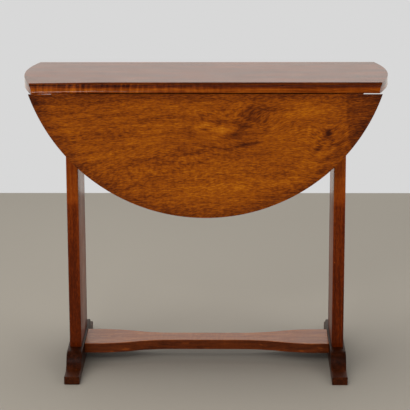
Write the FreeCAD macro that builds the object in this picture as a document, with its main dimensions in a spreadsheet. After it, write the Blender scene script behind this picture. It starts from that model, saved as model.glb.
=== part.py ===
import FreeCAD, Part
import math
import os

import Sketcher
from FreeCAD import Placement, Rotation, Vector

# Butterfly folding table: a round top in three boards with rule joints, on two plank ends.
# Millimetres, +Z up. The origin is on the floor under the middle of the top, +X runs from
# plank to plank and -Y is the front. The leaves hang at rest. The whole table repeats itself
# when it is turned half round about +Z, so rear pieces are front pieces turned by 180 degrees.

SIZES = [
    # the round top
    ("topRadius", 400, "radius of the open top"),
    ("tableHeight", 660, "floor to top"),
    ("boardThick", 20, "thickness of the centre board and the leaves"),
    ("filletHalf", 127, "centre line to the small square of the rule joint"),
    ("filletDrop", 5, "depth of that square"),
    ("pinDrop", 2, "hinge pin below the underside"),
    ("jointGap", 1.2, "clearance between ovolo and cove"),
    ("topArris", 0.8, "eased edge of the boards"),
    # plank ends
    ("plankCentre", 294, "middle of a plank from the table's middle"),
    ("plankThick", 26, ""),
    ("plankWidth", 175, ""),
    ("plankArris", 4, "rounded long edges of the planks"),
    ("tenonThick", 12, "stub tenons of plank into foot"),
    ("tenonWidth", 35, ""),
    ("tenonDepth", 22, ""),
    ("tenonOut", 58, "middle of a stub tenon from the plank's middle"),
    ("fitGap", 0.1, "glue clearance all round a tenon"),
    # sled feet
    ("footThick", 34, ""),
    ("footHeight", 50, ""),
    ("footFlat", 113, "half length of the flat ledge"),
    ("footSweep", 27, "radius of both arcs of the ogee"),
    ("footTurn", 66, "degrees that each of them turns"),
    ("footReach", 201, "middle to toe"),
    ("footArris", 1.5, "eased edge of the feet"),
    # stretcher
    ("stretchTop", 46.5, "floor to its upper face"),
    ("stretchThick", 22.5, ""),
    ("stretchEnd", 53.5, "half width at the feet"),
    ("stretchWaist", 27, "half width at the waist"),
    ("stretchStraight", 80, "half length of the straight waist"),
    ("stretchFlare", 250, "middle to where the ends are full width"),
    ("stretchArris", 1.2, ""),
    ("stretchTenonHalf", 30, "half width of its tenons"),
    ("stretchTenonThick", 11, ""),
    ("stretchTenonLong", 20, ""),
    # spine rail and cleats under the top
    ("spineThick", 20, ""),
    ("spineDeep", 150, ""),
    ("spineTenonThick", 10, ""),
    ("spineTenonDeep", 110, ""),
    ("spineTenonLong", 14, ""),
    ("cleatThick", 22, ""),
    ("cleatDeep", 25, ""),
    ("cleatInset", 4, "cleat's outer end from the plank's edge"),
    ("cleatGap", 1, "cleat to spine"),
    ("cleatBevel", 7, ""),
    # rule-joint hinges
    ("hingeOut", 200, "hinge from the table's middle"),
    ("hingeWide", 38, ""),
    ("plateThick", 1.8, ""),
    ("plateLong", 30, "pin to the end of the fixed plate"),
    ("leafPlateLong", 52, "pin to the end of the leaf plate"),
    ("knuckleRadius", 3, ""),
    ("knuckleGap", 0.3, "between two knuckles"),
    ("hingePinRadius", 1.5, ""),
    ("runGap", 0.05, "radial clearance of a turning pin"),
    ("recessGap", 0.4, "clearance of the hinge in its recess"),
    ("smallScrewRadius", 1.5, ""),
    ("smallScrewHead", 3, ""),
    ("smallScrewLong", 13, ""),
    # wings
    ("wingThick", 16, ""),
    ("wingGap", 1.5, "folded wing to spine"),
    ("wingPivotOut", 60, "pivot from the table's middle, along X"),
    ("wingLong", 210, "pivot to tip"),
    ("wingDeep", 118, "height at the heel"),
    ("wingTopGap", 2, "wing to the underside of the top"),
    ("wingShoulder", 112, "pivot to where the top edge starts to fall"),
    ("wingFall", 25, "fall of that edge at the tip"),
    ("wingTipDeep", 26, ""),
    ("wingHeelLong", 46, "pivot to where the lower edge starts to rise"),
    ("wingTipRound", 6, ""),
    ("rampHigh", 9, "bevel of the falling edge, on the leading face"),
    ("rampWide", 15, ""),
    ("wingPinRadius", 4, ""),
    ("wingPinLong", 26, ""),
    ("wingPinDeep", 13, "pin in the wing"),
    ("wingSwing", 65, "degrees from folded to open"),
    ("blockLong", 44, ""),
    ("blockDeep", 24, ""),
    ("blockGap", 0.4, "wing to its pivot block"),
    ("blockReach", 18, "pivot to the block's outer face"),
    ("blockRound", 6, "outer corners of the block"),
    ("blockScrewOut", 14, "screw from the pivot, along the block"),
    # bearers under the leaves
    ("bearerStart", 150, "pivot to the bearer's inner end"),
    ("bearerEnd", 204, "pivot to the bearer's outer end"),
    ("bearerGap", 0.3, "open wing to bearer"),
    ("bearerAhead", 12, "bearer past the wing's trailing edge"),
    ("stopWide", 9, "stop beyond the wing's leading face"),
    ("stopDrop", 7, "stop below the ramp"),
    ("bearerScrewIn", 13, "bearer's screws from its ends"),
    ("bearerScrewSide", 16, "screw from the open wing's middle"),
    ("bearerScrewLong", 26, ""),
    # larger screws
    ("screwRadius", 2, ""),
    ("screwHead", 4, ""),
    ("screwHeadDeep", 3, ""),
    ("screwLong", 34, ""),
    ("screwFaces", 8, "flats of a screw"),
    ("screwCrown", 2, "top of a round head from its axis"),
    ("screwTip", 0.5, "point of a screw from its axis"),
    ("cleatScrewNear", 14, "screw into the top, from the cleat's ends"),
    ("cleatScrewFar", 28, "screw into the plank, from the cleat's ends"),
    ("hingeScrewOut", 12, "hinge screws from the hinge's middle"),
    ("plateScrewIn", 18, "pin to the screws of the fixed plate"),
    ("leafScrewIn", 38, "pin to the screws of the leaf plate"),
    ("cutOver", 2, "how far a cut runs past its solid"),
]

DERIVED = [
    ("underside", "tableHeight - boardThick"),
    ("pinHeight", "underside - pinDrop"),
    ("ovoloRadius", "boardThick - filletDrop + pinDrop"),
    ("ovoloReach", "filletHalf + sqrt(ovoloRadius ^ 2 - pinDrop ^ 2)"),
    ("ovoloTop", "tableHeight - filletDrop"),
    ("coveRadius", "ovoloRadius + jointGap"),
    ("leafEdge", "filletHalf + jointGap"),
    ("leafHalf", "sqrt(topRadius ^ 2 - leafEdge ^ 2)"),
    ("outlineHalf", "ovoloReach + cutOver"),
    ("outlineEnd", "sqrt(topRadius ^ 2 - outlineHalf ^ 2)"),
    ("mouldOut", "outlineHalf + cutOver"),
    ("overTop", "tableHeight + cutOver"),
    ("underCut", "underside - cutOver"),
    ("plankInner", "plankCentre - plankThick / 2"),
    ("plankOuter", "plankCentre + plankThick / 2"),
    ("plankHalf", "plankWidth / 2"),
    ("plankLong", "underside - footHeight"),
    ("footInner", "plankCentre - footThick / 2"),
    ("footOuter", "plankCentre + footThick / 2"),
    ("sweepRun", "footSweep * sin(footTurn * 1deg)"),
    ("sweepDrop", "footSweep * (1 - cos(footTurn * 1deg))"),
    ("sweepMid", "footFlat + sweepRun"),
    ("sweepMidHeight", "footHeight - sweepDrop"),
    ("sweepEnd", "footFlat + 2 * sweepRun"),
    ("toeHeight", "footHeight - 2 * sweepDrop"),
    ("stretchUnder", "stretchTop - stretchThick"),
    ("stretchMiddle", "stretchTop - stretchThick / 2"),
    ("flareMid", "(stretchFlare + stretchStraight) / 2"),
    ("flareHalf", "(stretchEnd + stretchWaist) / 2"),
    ("flareRun", "(stretchFlare - stretchStraight) / 2"),
    ("flareRise", "(stretchEnd - stretchWaist) / 2"),
    ("flareRadius", "(flareRun ^ 2 + flareRise ^ 2) / (2 * flareRise)"),
    ("spineHalf", "spineThick / 2"),
    ("spineUnder", "underside - spineDeep"),
    ("spineMiddle", "underside - spineDeep / 2"),
    ("spineTenonEnd", "plankInner + spineTenonLong"),
    ("cleatInner", "plankInner - cleatThick"),
    ("cleatUnder", "underside - cleatDeep"),
    ("cleatStart", "spineHalf + cleatGap"),
    ("cleatFinish", "plankHalf - cleatInset"),
    ("wingPivotY", "spineHalf + wingGap + wingThick / 2"),
    ("wingTop", "underside - wingTopGap"),
    ("wingUnder", "wingTop - wingDeep"),
    ("wingHalf", "wingThick / 2"),
    ("wingTipTop", "wingTop - wingFall"),
    ("wingTipUnder", "wingTipTop - wingTipDeep"),
    ("wingSlope", "wingFall / (wingLong - wingShoulder)"),
    ("blockTop", "wingUnder - blockGap"),
    ("blockUnder", "blockTop - blockDeep"),
    ("blockFace", "wingPivotY + blockReach"),
    ("wingLowerRise", "wingTipUnder - wingUnder"),
    ("wingLowerRun", "wingLong - wingHeelLong"),
    ("wingLowerSweep", "(wingLowerRun ^ 2 + wingLowerRise ^ 2) / (2 * wingLowerRise)"),
    ("wingHeelRound", "wingHalf - bearerGap"),
    ("pinSocketRadius", "wingPinRadius + runGap"),
    ("rampSlope", "rampHigh / rampWide"),
    ("rampCrest", "rampWide - wingHalf"),
    ("stopEdge", "wingHalf + bearerGap"),
    ("stopOuter", "stopEdge + stopWide"),
    ("bearerAheadEdge", "wingHalf + bearerAhead"),
    ("edgeStart", "wingTop + bearerGap - wingSlope * (bearerStart - wingShoulder)"),
    ("edgeEnd", "wingTop + bearerGap - wingSlope * (bearerEnd - wingShoulder)"),
    ("aheadStart", "edgeStart + rampSlope * (bearerAheadEdge - rampCrest)"),
    ("aheadEnd", "edgeEnd + rampSlope * (bearerAheadEdge - rampCrest)"),
    ("rampStart", "edgeStart - rampSlope * (stopEdge + rampCrest)"),
    ("rampEnd", "edgeEnd - rampSlope * (stopEdge + rampCrest)"),
    ("stopStart", "rampStart - stopDrop"),
    ("stopEnd", "rampEnd - stopDrop"),
    ("bearerScrewFirst", "bearerStart + bearerScrewIn"),
    ("bearerScrewLast", "bearerEnd - bearerScrewIn"),
    ("screwRise", "rampSlope * (bearerScrewSide - rampCrest)"),
    ("seatFirst", "edgeStart - wingSlope * bearerScrewIn + screwRise"),
    ("seatLast", "edgeEnd + wingSlope * bearerScrewIn + screwRise"),
    ("tenonInner", "plankCentre - tenonThick / 2"),
    ("tenonOuter", "plankCentre + tenonThick / 2"),
    ("tenonNear", "tenonOut - tenonWidth / 2"),
    ("tenonFar", "tenonOut + tenonWidth / 2"),
    ("mortiseInner", "tenonInner - fitGap"),
    ("mortiseOuter", "tenonOuter + fitGap"),
    ("mortiseNear", "tenonNear - fitGap"),
    ("mortiseFar", "tenonFar + fitGap"),
    ("stretchTenonEnd", "footInner + stretchTenonLong"),
    ("stretchTenonLow", "stretchMiddle - stretchTenonThick / 2"),
    ("stretchTenonHigh", "stretchMiddle + stretchTenonThick / 2"),
    ("stretchMortiseHalf", "stretchTenonHalf + fitGap"),
    ("stretchMortiseLow", "stretchTenonLow - fitGap"),
    ("stretchMortiseHigh", "stretchTenonHigh + fitGap"),
    ("spineTenonHalf", "spineTenonThick / 2"),
    ("spineTenonLow", "spineMiddle - spineTenonDeep / 2"),
    ("spineTenonHigh", "spineMiddle + spineTenonDeep / 2"),
    ("spineMortiseHalf", "spineTenonHalf + fitGap"),
    ("spineMortiseLow", "spineTenonLow - fitGap"),
    ("spineMortiseHigh", "spineTenonHigh + fitGap"),
    ("plateUnder", "underside - plateThick"),
    ("hingeInner", "hingeOut - hingeWide / 2"),
    ("hingeOuter", "hingeOut + hingeWide / 2"),
    ("knuckleThird", "hingeWide / 3"),
    ("middleInner", "hingeInner + knuckleThird"),
    ("middleOuter", "hingeOuter - knuckleThird"),
    ("fixedFrom", "filletHalf - plateLong"),
    ("fixedNotch", "filletHalf - knuckleRadius - recessGap"),
    ("leafTo", "filletHalf + leafPlateLong"),
    ("leafNotch", "filletHalf + knuckleRadius + recessGap"),
    ("pinSocket", "hingePinRadius + runGap"),
    ("plateHole", "smallScrewHead + runGap"),
    ("sinkAngle", "atan((smallScrewHead - smallScrewRadius) / plateThick) / 1deg"),
    ("recessInner", "hingeInner - recessGap"),
    ("recessRadius", "knuckleRadius + recessGap"),
    ("recessTop", "underside + recessGap"),
    ("cleatMiddle", "plankInner - cleatThick / 2"),
    ("cleatHeight", "underside - cleatDeep / 2"),
    ("uprightStart", "cleatStart + cleatScrewNear"),
    ("uprightFinish", "cleatFinish - cleatScrewNear"),
    ("levelStart", "cleatStart + cleatScrewFar"),
    ("levelFinish", "cleatFinish - cleatScrewFar"),
    ("middleStart", "middleInner + knuckleGap / 2"),
    ("screwInner", "hingeOut - hingeScrewOut"),
    ("screwOuter", "hingeOut + hingeScrewOut"),
    ("fixedScrewOut", "filletHalf - plateScrewIn"),
    ("leafScrewOut", "filletHalf + leafScrewIn"),
    ("bevelLow", "wingTipTop - rampHigh"),
    ("bevelHigh", "wingTipTop + wingFall"),
    ("bevelOut", "wingHalf + cutOver"),
    ("bevelUnder", "bevelLow - cutOver * rampSlope"),
    ("blockInner", "wingPivotOut - blockLong / 2"),
    ("blockOuter", "wingPivotOut + blockLong / 2"),
    ("blockMiddle", "blockTop - blockDeep / 2"),
    ("blockScrewNear", "wingPivotOut - blockScrewOut"),
    ("blockScrewFar", "wingPivotOut + blockScrewOut"),
]

doc = FreeCAD.newDocument("ButterflyTable")
sheet = doc.addObject("Spreadsheet::Sheet", "Sizes")
subparts = []
nearEnough = 0.01    # two places that count as one
nearby = 1           # edges within this of a face belong to it


def fillSheet():
    """Driving sizes first, each a plain number with an alias, then the formulas on them."""
    row = 1
    for name, number, note in SIZES:
        sheet.set(f"A{row}", name)
        sheet.set(f"B{row}", str(number))
        sheet.set(f"C{row}", note)
        sheet.setAlias(f"B{row}", name)
        row += 1
    doc.recompute()
    for name, formula in DERIVED:
        sheet.set(f"A{row}", name)
        sheet.set(f"B{row}", "=" + formula)
        sheet.setAlias(f"B{row}", name)
        row += 1
        doc.recompute()


def size(term):
    """Value of a term: "0", an alias, or an alias with a minus sign."""
    if term == "0":
        return 0.0
    sign = -1 if term.startswith("-") else 1
    return sign * float(sheet.get(term.lstrip("-")))


def bound(term):
    """The same term as an expression on the sheet."""
    if term == "0":
        return "0"
    return ("-" if term.startswith("-") else "") + "Sizes." + term.lstrip("-")


def newBody(label):
    body = doc.addObject("PartDesign::Body", label.title().replace("_", ""))
    body.Label = label
    subparts.append(body)
    return body


def newSketch(body, plane, name, offset="0"):
    """A sketch on one of the body's own planes, lifted off it by a term."""
    sketch = body.newObject("Sketcher::SketchObject", name)
    origin = [f for f in body.Origin.OriginFeatures if f.Role == plane][0]
    sketch.AttachmentSupport = [(origin, "")]
    sketch.MapMode = "FlatFace"
    if offset != "0":
        sketch.setExpression(".AttachmentOffset.Base.z", bound(offset))
    return sketch


def arcBetween(start, end, radius, side):
    """Minor arc from start to end that bulges to the left (+1) or right (-1) of the way.
    A sketch's arcs run anticlockwise, so one that bulges left is laid from end to start."""
    chord = end - start
    depth = math.sqrt(max(radius * radius - chord.Length ** 2 / 4, 0))
    left = Vector(-chord.y, chord.x, 0).normalize()
    centre = start + chord * 0.5 - left * (side * depth)
    low, high = (end, start) if side > 0 else (start, end)
    first = math.atan2(low.y - centre.y, low.x - centre.x)
    last = math.atan2(high.y - centre.y, high.x - centre.x)
    if last < first:
        last += 2 * math.pi
    return Part.ArcOfCircle(Part.Circle(centre, Vector(0, 0, 1), radius), first, last)


def drawProfile(sketch, steps):
    """A closed outline. Each step is (x, y) for a straight edge to the next step, or
    (x, y, radius, side) for an arc. Every corner is dimensioned from the origin by its terms."""
    corners = [Vector(size(step[0]), size(step[1]), 0) for step in steps]
    first = sketch.GeometryCount
    starts = []
    ends = []
    for index, step in enumerate(steps):
        here = corners[index]
        there = corners[(index + 1) % len(steps)]
        if len(step) == 2:
            edge = sketch.addGeometry(Part.LineSegment(here, there))
            starts.append((edge, 1))
            ends.append((edge, 2))
            continue
        edge = sketch.addGeometry(arcBetween(here, there, size(step[2]), step[3]))
        starts.append((edge, 2 if step[3] > 0 else 1))
        ends.append((edge, 1 if step[3] > 0 else 2))
    for index, step in enumerate(steps):
        edge = first + index
        following = (index + 1) % len(steps)
        sketch.addConstraint(Sketcher.Constraint("Coincident", *ends[index], *starts[following]))
        for kind, term in (("DistanceX", step[0]), ("DistanceY", step[1])):
            number = sketch.addConstraint(
                Sketcher.Constraint(kind, -1, 1, *starts[index], size(term)))
            if term != "0":
                sketch.setExpression(f"Constraints[{number}]", bound(term))
        if len(step) > 2:
            number = sketch.addConstraint(Sketcher.Constraint("Radius", edge, size(step[2])))
            sketch.setExpression(f"Constraints[{number}]", bound(step[2]))


def drawBox(sketch, left, low, right, high):
    drawProfile(sketch, [(left, low), (right, low), (right, high), (left, high)])


def drawCircle(sketch, acrossTerm, upTerm, radiusTerm):
    centre = Vector(size(acrossTerm), size(upTerm), 0)
    edge = sketch.addGeometry(Part.Circle(centre, Vector(0, 0, 1), size(radiusTerm)))
    for kind, term in (("DistanceX", acrossTerm), ("DistanceY", upTerm)):
        number = sketch.addConstraint(Sketcher.Constraint(kind, -1, 1, edge, 3, size(term)))
        if term != "0":
            sketch.setExpression(f"Constraints[{number}]", bound(term))
    number = sketch.addConstraint(Sketcher.Constraint("Radius", edge, size(radiusTerm)))
    sketch.setExpression(f"Constraints[{number}]", bound(radiusTerm))


def pad(body, sketch, length, down=False, middle=False):
    """Adds the sketch's area, by a length that is an expression on the sheet."""
    feature = body.newObject("PartDesign::Pad", "Pad")
    feature.Profile = sketch
    feature.SideType = "Symmetric" if middle else "One side"
    feature.Reversed = down
    feature.setExpression("Length", length)
    sketch.Visibility = False
    doc.recompute()
    return feature


def pocket(body, sketch, length, up=False, middle=False):
    """Cuts the sketch's area away and makes sure that something was cut."""
    before = body.Shape.Volume
    feature = body.newObject("PartDesign::Pocket", "Pocket")
    feature.Profile = sketch
    feature.SideType = "Symmetric" if middle else "One side"
    feature.Reversed = up
    feature.setExpression("Length", length)
    doc.recompute()
    if body.Shape.Volume > before - nearEnough:
        raise ValueError(f"{body.Label}: {feature.Name} cut nothing")
    return feature


def edgesWhere(shape, test):
    return [f"Edge{number + 1}" for number, edge in enumerate(shape.Edges) if test(edge)]


def ease(body, amount, test, kind="Chamfer"):
    """Takes the arris off the edges of the body that pass a test on their geometry."""
    names = edgesWhere(body.Shape, test)
    feature = body.newObject(f"PartDesign::{kind}", "Ease")
    feature.Base = (feature.BaseFeature, names)
    feature.setExpression("Radius" if kind == "Fillet" else "Size", amount)
    doc.recompute()
    return feature


def isAlong(edge, axis):
    """A straight edge that runs along axis."""
    if edge.Curve.TypeId != "Part::GeomLine":
        return False
    return edge.Curve.Direction.cross(axis).Length < nearEnough


def halfTurn(body, isRear):
    """Rear pieces are the front ones turned by 180 degrees about the table's middle."""
    if isRear:
        body.Placement = Placement(Vector(), Rotation(Vector(0, 0, 1), 180)).multiply(body.Placement)


def onRim(edge):
    """A horizontal arc of the round top's rim."""
    if edge.Curve.TypeId != "Part::GeomCircle":
        return False
    return abs(edge.Curve.Radius - size("topRadius")) < nearEnough


def hang(body, isRear):
    """A leaf and what it carries are drawn open and swung down about the hinge pins."""
    pin = Vector(0, -size("filletHalf"), size("pinHeight"))
    swing = Placement(Vector(), Rotation(Vector(1, 0, 0), 90), pin)
    body.Placement = swing.multiply(body.Placement)
    halfTurn(body, isRear)


def makeTopBoard():
    """Centre board: round ends, an ovolo along both long edges, recesses for the hinges
    and sockets for the wings' upper pins."""
    body = newBody("top_board")
    outline = newSketch(body, "XY_Plane", "Outline", "underside")
    drawProfile(outline, [
        ("-outlineEnd", "-outlineHalf"),
        ("outlineEnd", "-outlineHalf", "topRadius", -1),
        ("outlineEnd", "outlineHalf"),
        ("-outlineEnd", "outlineHalf", "topRadius", -1),
    ])
    pad(body, outline, "Sizes.boardThick")
    for sign, side in (("-", -1), ("", 1)):
        mould = newSketch(body, "YZ_Plane", "Ovolo")
        drawProfile(mould, [
            (sign + "filletHalf", "overTop"),
            (sign + "filletHalf", "ovoloTop", "ovoloRadius", side),
            (sign + "ovoloReach", "underside"),
            (sign + "ovoloReach", "underCut"),
            (sign + "mouldOut", "underCut"),
            (sign + "mouldOut", "overTop"),
        ])
        pocket(body, mould, "2 * Sizes.topRadius", middle=True)
    for start in ("recessInner", "-recessInner"):
        for sign in ("-", ""):
            recess = newSketch(body, "YZ_Plane", "HingeRecess", start)
            drawBox(recess, sign + "filletHalf", "underCut", sign + "mouldOut", "recessTop")
            pocket(body, recess, "Sizes.hingeWide + 2 * Sizes.recessGap", up=start[0] != "-")
            groove = newSketch(body, "YZ_Plane", "KnuckleGroove", start)
            drawCircle(groove, sign + "filletHalf", "pinHeight", "recessRadius")
            pocket(body, groove, "Sizes.hingeWide + 2 * Sizes.recessGap", up=start[0] != "-")
    for sign in ("-", ""):
        socket = newSketch(body, "XY_Plane", "PinSocket", "underside")
        drawCircle(socket, sign + "wingPivotOut", sign + "wingPivotY", "pinSocketRadius")
        pocket(body, socket, "Sizes.wingPinLong - Sizes.wingPinDeep", up=True)
    ease(body, "Sizes.topArris", onRim)


def makeLeaf(side):
    """Hanging leaf: a D of the round top with a cove that turns about the ovolo."""
    body = newBody(f"{side}_leaf")
    outline = newSketch(body, "XY_Plane", "Outline", "underside")
    drawProfile(outline, [
        ("-leafHalf", "-leafEdge"),
        ("leafHalf", "-leafEdge", "topRadius", 1),
    ])
    pad(body, outline, "Sizes.boardThick")
    ease(body, "Sizes.topArris", onRim)
    cove = newSketch(body, "YZ_Plane", "Cove")
    drawCircle(cove, "-filletHalf", "pinHeight", "coveRadius")
    pocket(body, cove, "2 * Sizes.topRadius", middle=True)
    hang(body, side == "rear")


def makePlank(side):
    """Plank end: rounded long edges, two stub tenons below, a mortise for the spine rail."""
    body = newBody(f"{side}_end_plank")
    section = newSketch(body, "XY_Plane", "Section", "footHeight")
    drawBox(section, "plankInner", "-plankHalf", "plankOuter", "plankHalf")
    pad(body, section, "Sizes.plankLong")
    ease(body, "Sizes.plankArris", lambda edge: isAlong(edge, Vector(0, 0, 1)), "Fillet")
    tenons = newSketch(body, "XY_Plane", "StubTenons", "footHeight")
    drawBox(tenons, "tenonInner", "tenonNear", "tenonOuter", "tenonFar")
    drawBox(tenons, "tenonInner", "-tenonFar", "tenonOuter", "-tenonNear")
    pad(body, tenons, "Sizes.tenonDepth", down=True)
    mortise = newSketch(body, "YZ_Plane", "SpineMortise", "plankInner")
    drawBox(mortise, "-spineMortiseHalf", "spineMortiseLow", "spineMortiseHalf", "spineMortiseHigh")
    pocket(body, mortise, "Sizes.spineTenonLong + Sizes.fitGap", up=True)
    halfTurn(body, side == "left")


def makeFoot(side):
    """Sled foot: flat ledge, an ogee of two equal arcs and a low toe at both ends."""
    body = newBody(f"{side}_foot")
    profile = newSketch(body, "YZ_Plane", "Profile", "footInner")
    drawProfile(profile, [
        ("-footReach", "0"),
        ("footReach", "0"),
        ("footReach", "toeHeight"),
        ("sweepEnd", "toeHeight", "footSweep", 1),
        ("sweepMid", "sweepMidHeight", "footSweep", -1),
        ("footFlat", "footHeight"),
        ("-footFlat", "footHeight", "footSweep", -1),
        ("-sweepMid", "sweepMidHeight", "footSweep", 1),
        ("-sweepEnd", "toeHeight"),
        ("-footReach", "toeHeight"),
    ])
    pad(body, profile, "Sizes.footThick")
    faces = (size("footInner"), size("footOuter"))
    ease(body, "Sizes.footArris", lambda edge: edge.CenterOfMass.z > nearby and min(
        abs(edge.CenterOfMass.x - face) for face in faces) < nearEnough)
    mortises = newSketch(body, "XY_Plane", "Mortises", "footHeight")
    drawBox(mortises, "mortiseInner", "mortiseNear", "mortiseOuter", "mortiseFar")
    drawBox(mortises, "mortiseInner", "-mortiseFar", "mortiseOuter", "-mortiseNear")
    pocket(body, mortises, "Sizes.tenonDepth + Sizes.fitGap")
    mortise = newSketch(body, "YZ_Plane", "StretcherMortise", "footInner")
    drawBox(mortise, "-stretchMortiseHalf", "stretchMortiseLow",
            "stretchMortiseHalf", "stretchMortiseHigh")
    pocket(body, mortise, "Sizes.stretchTenonLong + Sizes.fitGap", up=True)
    halfTurn(body, side == "left")


def makeStretcher():
    """Flat stretcher between the feet, waisted by two tangent arcs at each end."""
    body = newBody("stretcher")
    outline = newSketch(body, "XY_Plane", "Outline", "stretchUnder")
    steps = []
    for near, far in (("-", ""), ("", "-")):
        steps += [
            (near + "footInner", near + "stretchEnd"),
            (near + "stretchFlare", near + "stretchEnd", "flareRadius", -1),
            (near + "flareMid", near + "flareHalf", "flareRadius", 1),
            (near + "stretchStraight", near + "stretchWaist"),
            (far + "stretchStraight", near + "stretchWaist", "flareRadius", 1),
            (far + "flareMid", near + "flareHalf", "flareRadius", -1),
            (far + "stretchFlare", near + "stretchEnd"),
            (far + "footInner", near + "stretchEnd"),
        ]
    drawProfile(outline, steps)
    pad(body, outline, "Sizes.stretchThick")
    levels = (size("stretchTop"), size("stretchUnder"))
    ease(body, "Sizes.stretchArris", lambda edge: not isAlong(edge, Vector(0, 1, 0)) and min(
        abs(edge.CenterOfMass.z - level) for level in levels) < nearEnough)
    tenon = newSketch(body, "YZ_Plane", "Tenons")
    drawBox(tenon, "-stretchTenonHalf", "stretchTenonLow", "stretchTenonHalf", "stretchTenonHigh")
    pad(body, tenon, "2 * Sizes.stretchTenonEnd", middle=True)


def makeSpine():
    """Spine rail on edge under the top, tenoned into both planks."""
    body = newBody("spine_rail")
    section = newSketch(body, "YZ_Plane", "Section")
    drawBox(section, "-spineHalf", "spineUnder", "spineHalf", "underside")
    pad(body, section, "2 * Sizes.plankInner", middle=True)
    ease(body, "Sizes.topArris", lambda edge: isAlong(edge, Vector(1, 0, 0))
         and edge.CenterOfMass.z < size("spineUnder") + nearby)
    tenon = newSketch(body, "YZ_Plane", "Tenons")
    drawBox(tenon, "-spineTenonHalf", "spineTenonLow", "spineTenonHalf", "spineTenonHigh")
    pad(body, tenon, "2 * Sizes.spineTenonEnd", middle=True)


def makeCleat(side, hand):
    """Cleat in the corner of plank and top, with its free lower edge bevelled."""
    body = newBody(f"{side}_{hand}_cleat")
    across = "" if hand == "right" else "-"
    along = "" if side == "rear" else "-"
    plan = newSketch(body, "XY_Plane", "Plan", "cleatUnder")
    drawBox(plan, across + "cleatInner", along + "cleatStart",
            across + "plankInner", along + "cleatFinish")
    pad(body, plan, "Sizes.cleatDeep")
    ease(body, "Sizes.cleatBevel", lambda edge: isAlong(edge, Vector(0, 1, 0))
         and abs(edge.CenterOfMass.x) < size("cleatInner") + nearby
         and edge.CenterOfMass.z < size("cleatUnder") + nearby)


def platePoints(across, root, notch, end, middleCut):
    """Outline of a hinge plate: the knuckles' gaps are cut out of its pinned edge."""
    inner, outer = across + "hingeInner", across + "hingeOuter"
    nearer, further = across + "middleInner", across + "middleOuter"
    if middleCut:
        edge = [(inner, root), (nearer, root), (nearer, notch),
                (further, notch), (further, root), (outer, root)]
    else:
        edge = [(inner, notch), (nearer, notch), (nearer, root),
                (further, root), (further, notch), (outer, notch)]
    return edge + [(outer, end), (inner, end)]


def makeHingePlate(side, hand, isLeafPlate):
    """One plate of a rule-joint hinge. The fixed plate has the two outer knuckles and the
    longer leaf plate, which reaches across the cove, has the middle one."""
    kind = "leaf" if isLeafPlate else "top"
    body = newBody(f"{side}_{hand}_hinge_{kind}_plate")
    across = "" if (hand == "right") != (side == "rear") else "-"
    plan = newSketch(body, "XY_Plane", "Plate", "plateUnder")
    if isLeafPlate:
        points = platePoints(across, "-filletHalf", "-leafNotch", "-leafTo", False)
    else:
        points = platePoints(across, "-filletHalf", "-fixedNotch", "-fixedFrom", True)
    drawProfile(plan, points)
    pad(body, plan, "Sizes.plateThick")
    if isLeafPlate:
        spans = [("middleStart", "Sizes.knuckleThird - Sizes.knuckleGap")]
    else:
        spans = [("hingeInner", "Sizes.knuckleThird"), ("middleOuter", "Sizes.knuckleThird")]
    for start, length in spans:
        barrel = newSketch(body, "YZ_Plane", "Knuckle", across + start)
        drawCircle(barrel, "-filletHalf", "pinHeight", "knuckleRadius")
        pad(body, barrel, length, down=across == "-")
    bore = newSketch(body, "YZ_Plane", "Bore")
    drawCircle(bore, "-filletHalf", "pinHeight", "pinSocket" if isLeafPlate else "hingePinRadius")
    pocket(body, bore, "2 * Sizes.topRadius", middle=True)
    holes = newSketch(body, "XY_Plane", "ScrewHoles", "plateUnder")
    for acrossTerm, alongTerm in hingeScrewTerms(across, isLeafPlate):
        drawCircle(holes, acrossTerm, alongTerm, "plateHole")
    cut = pocket(body, holes, "Sizes.plateThick", up=True)
    cut.setExpression("TaperAngle", "-Sizes.sinkAngle")
    doc.recompute()
    if isLeafPlate:
        hang(body, side == "rear")
    else:
        halfTurn(body, side == "rear")


def hingeScrewTerms(across, isLeafPlate):
    """Where a plate's two screws are."""
    along = "-leafScrewOut" if isLeafPlate else "-fixedScrewOut"
    return [(across + "screwInner", along), (across + "screwOuter", along)]


def makeHingePin(side, hand):
    """Pin through the three knuckles, held by the two outer ones."""
    pin = doc.addObject("Part::Cylinder", f"{side}{hand}HingePin".title())
    pin.Label = f"{side}_{hand}_hinge_pin"
    pin.setExpression("Radius", "Sizes.hingePinRadius")
    pin.setExpression("Height", "Sizes.hingeWide")
    across = -size("hingeOuter") if (hand == "right") == (side == "rear") else size("hingeInner")
    pin.Placement = Placement(Vector(across, -size("filletHalf"), size("pinHeight")),
                              Rotation(Vector(0, 1, 0), 90))
    halfTurn(pin, side == "rear")
    subparts.append(pin)


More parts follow.
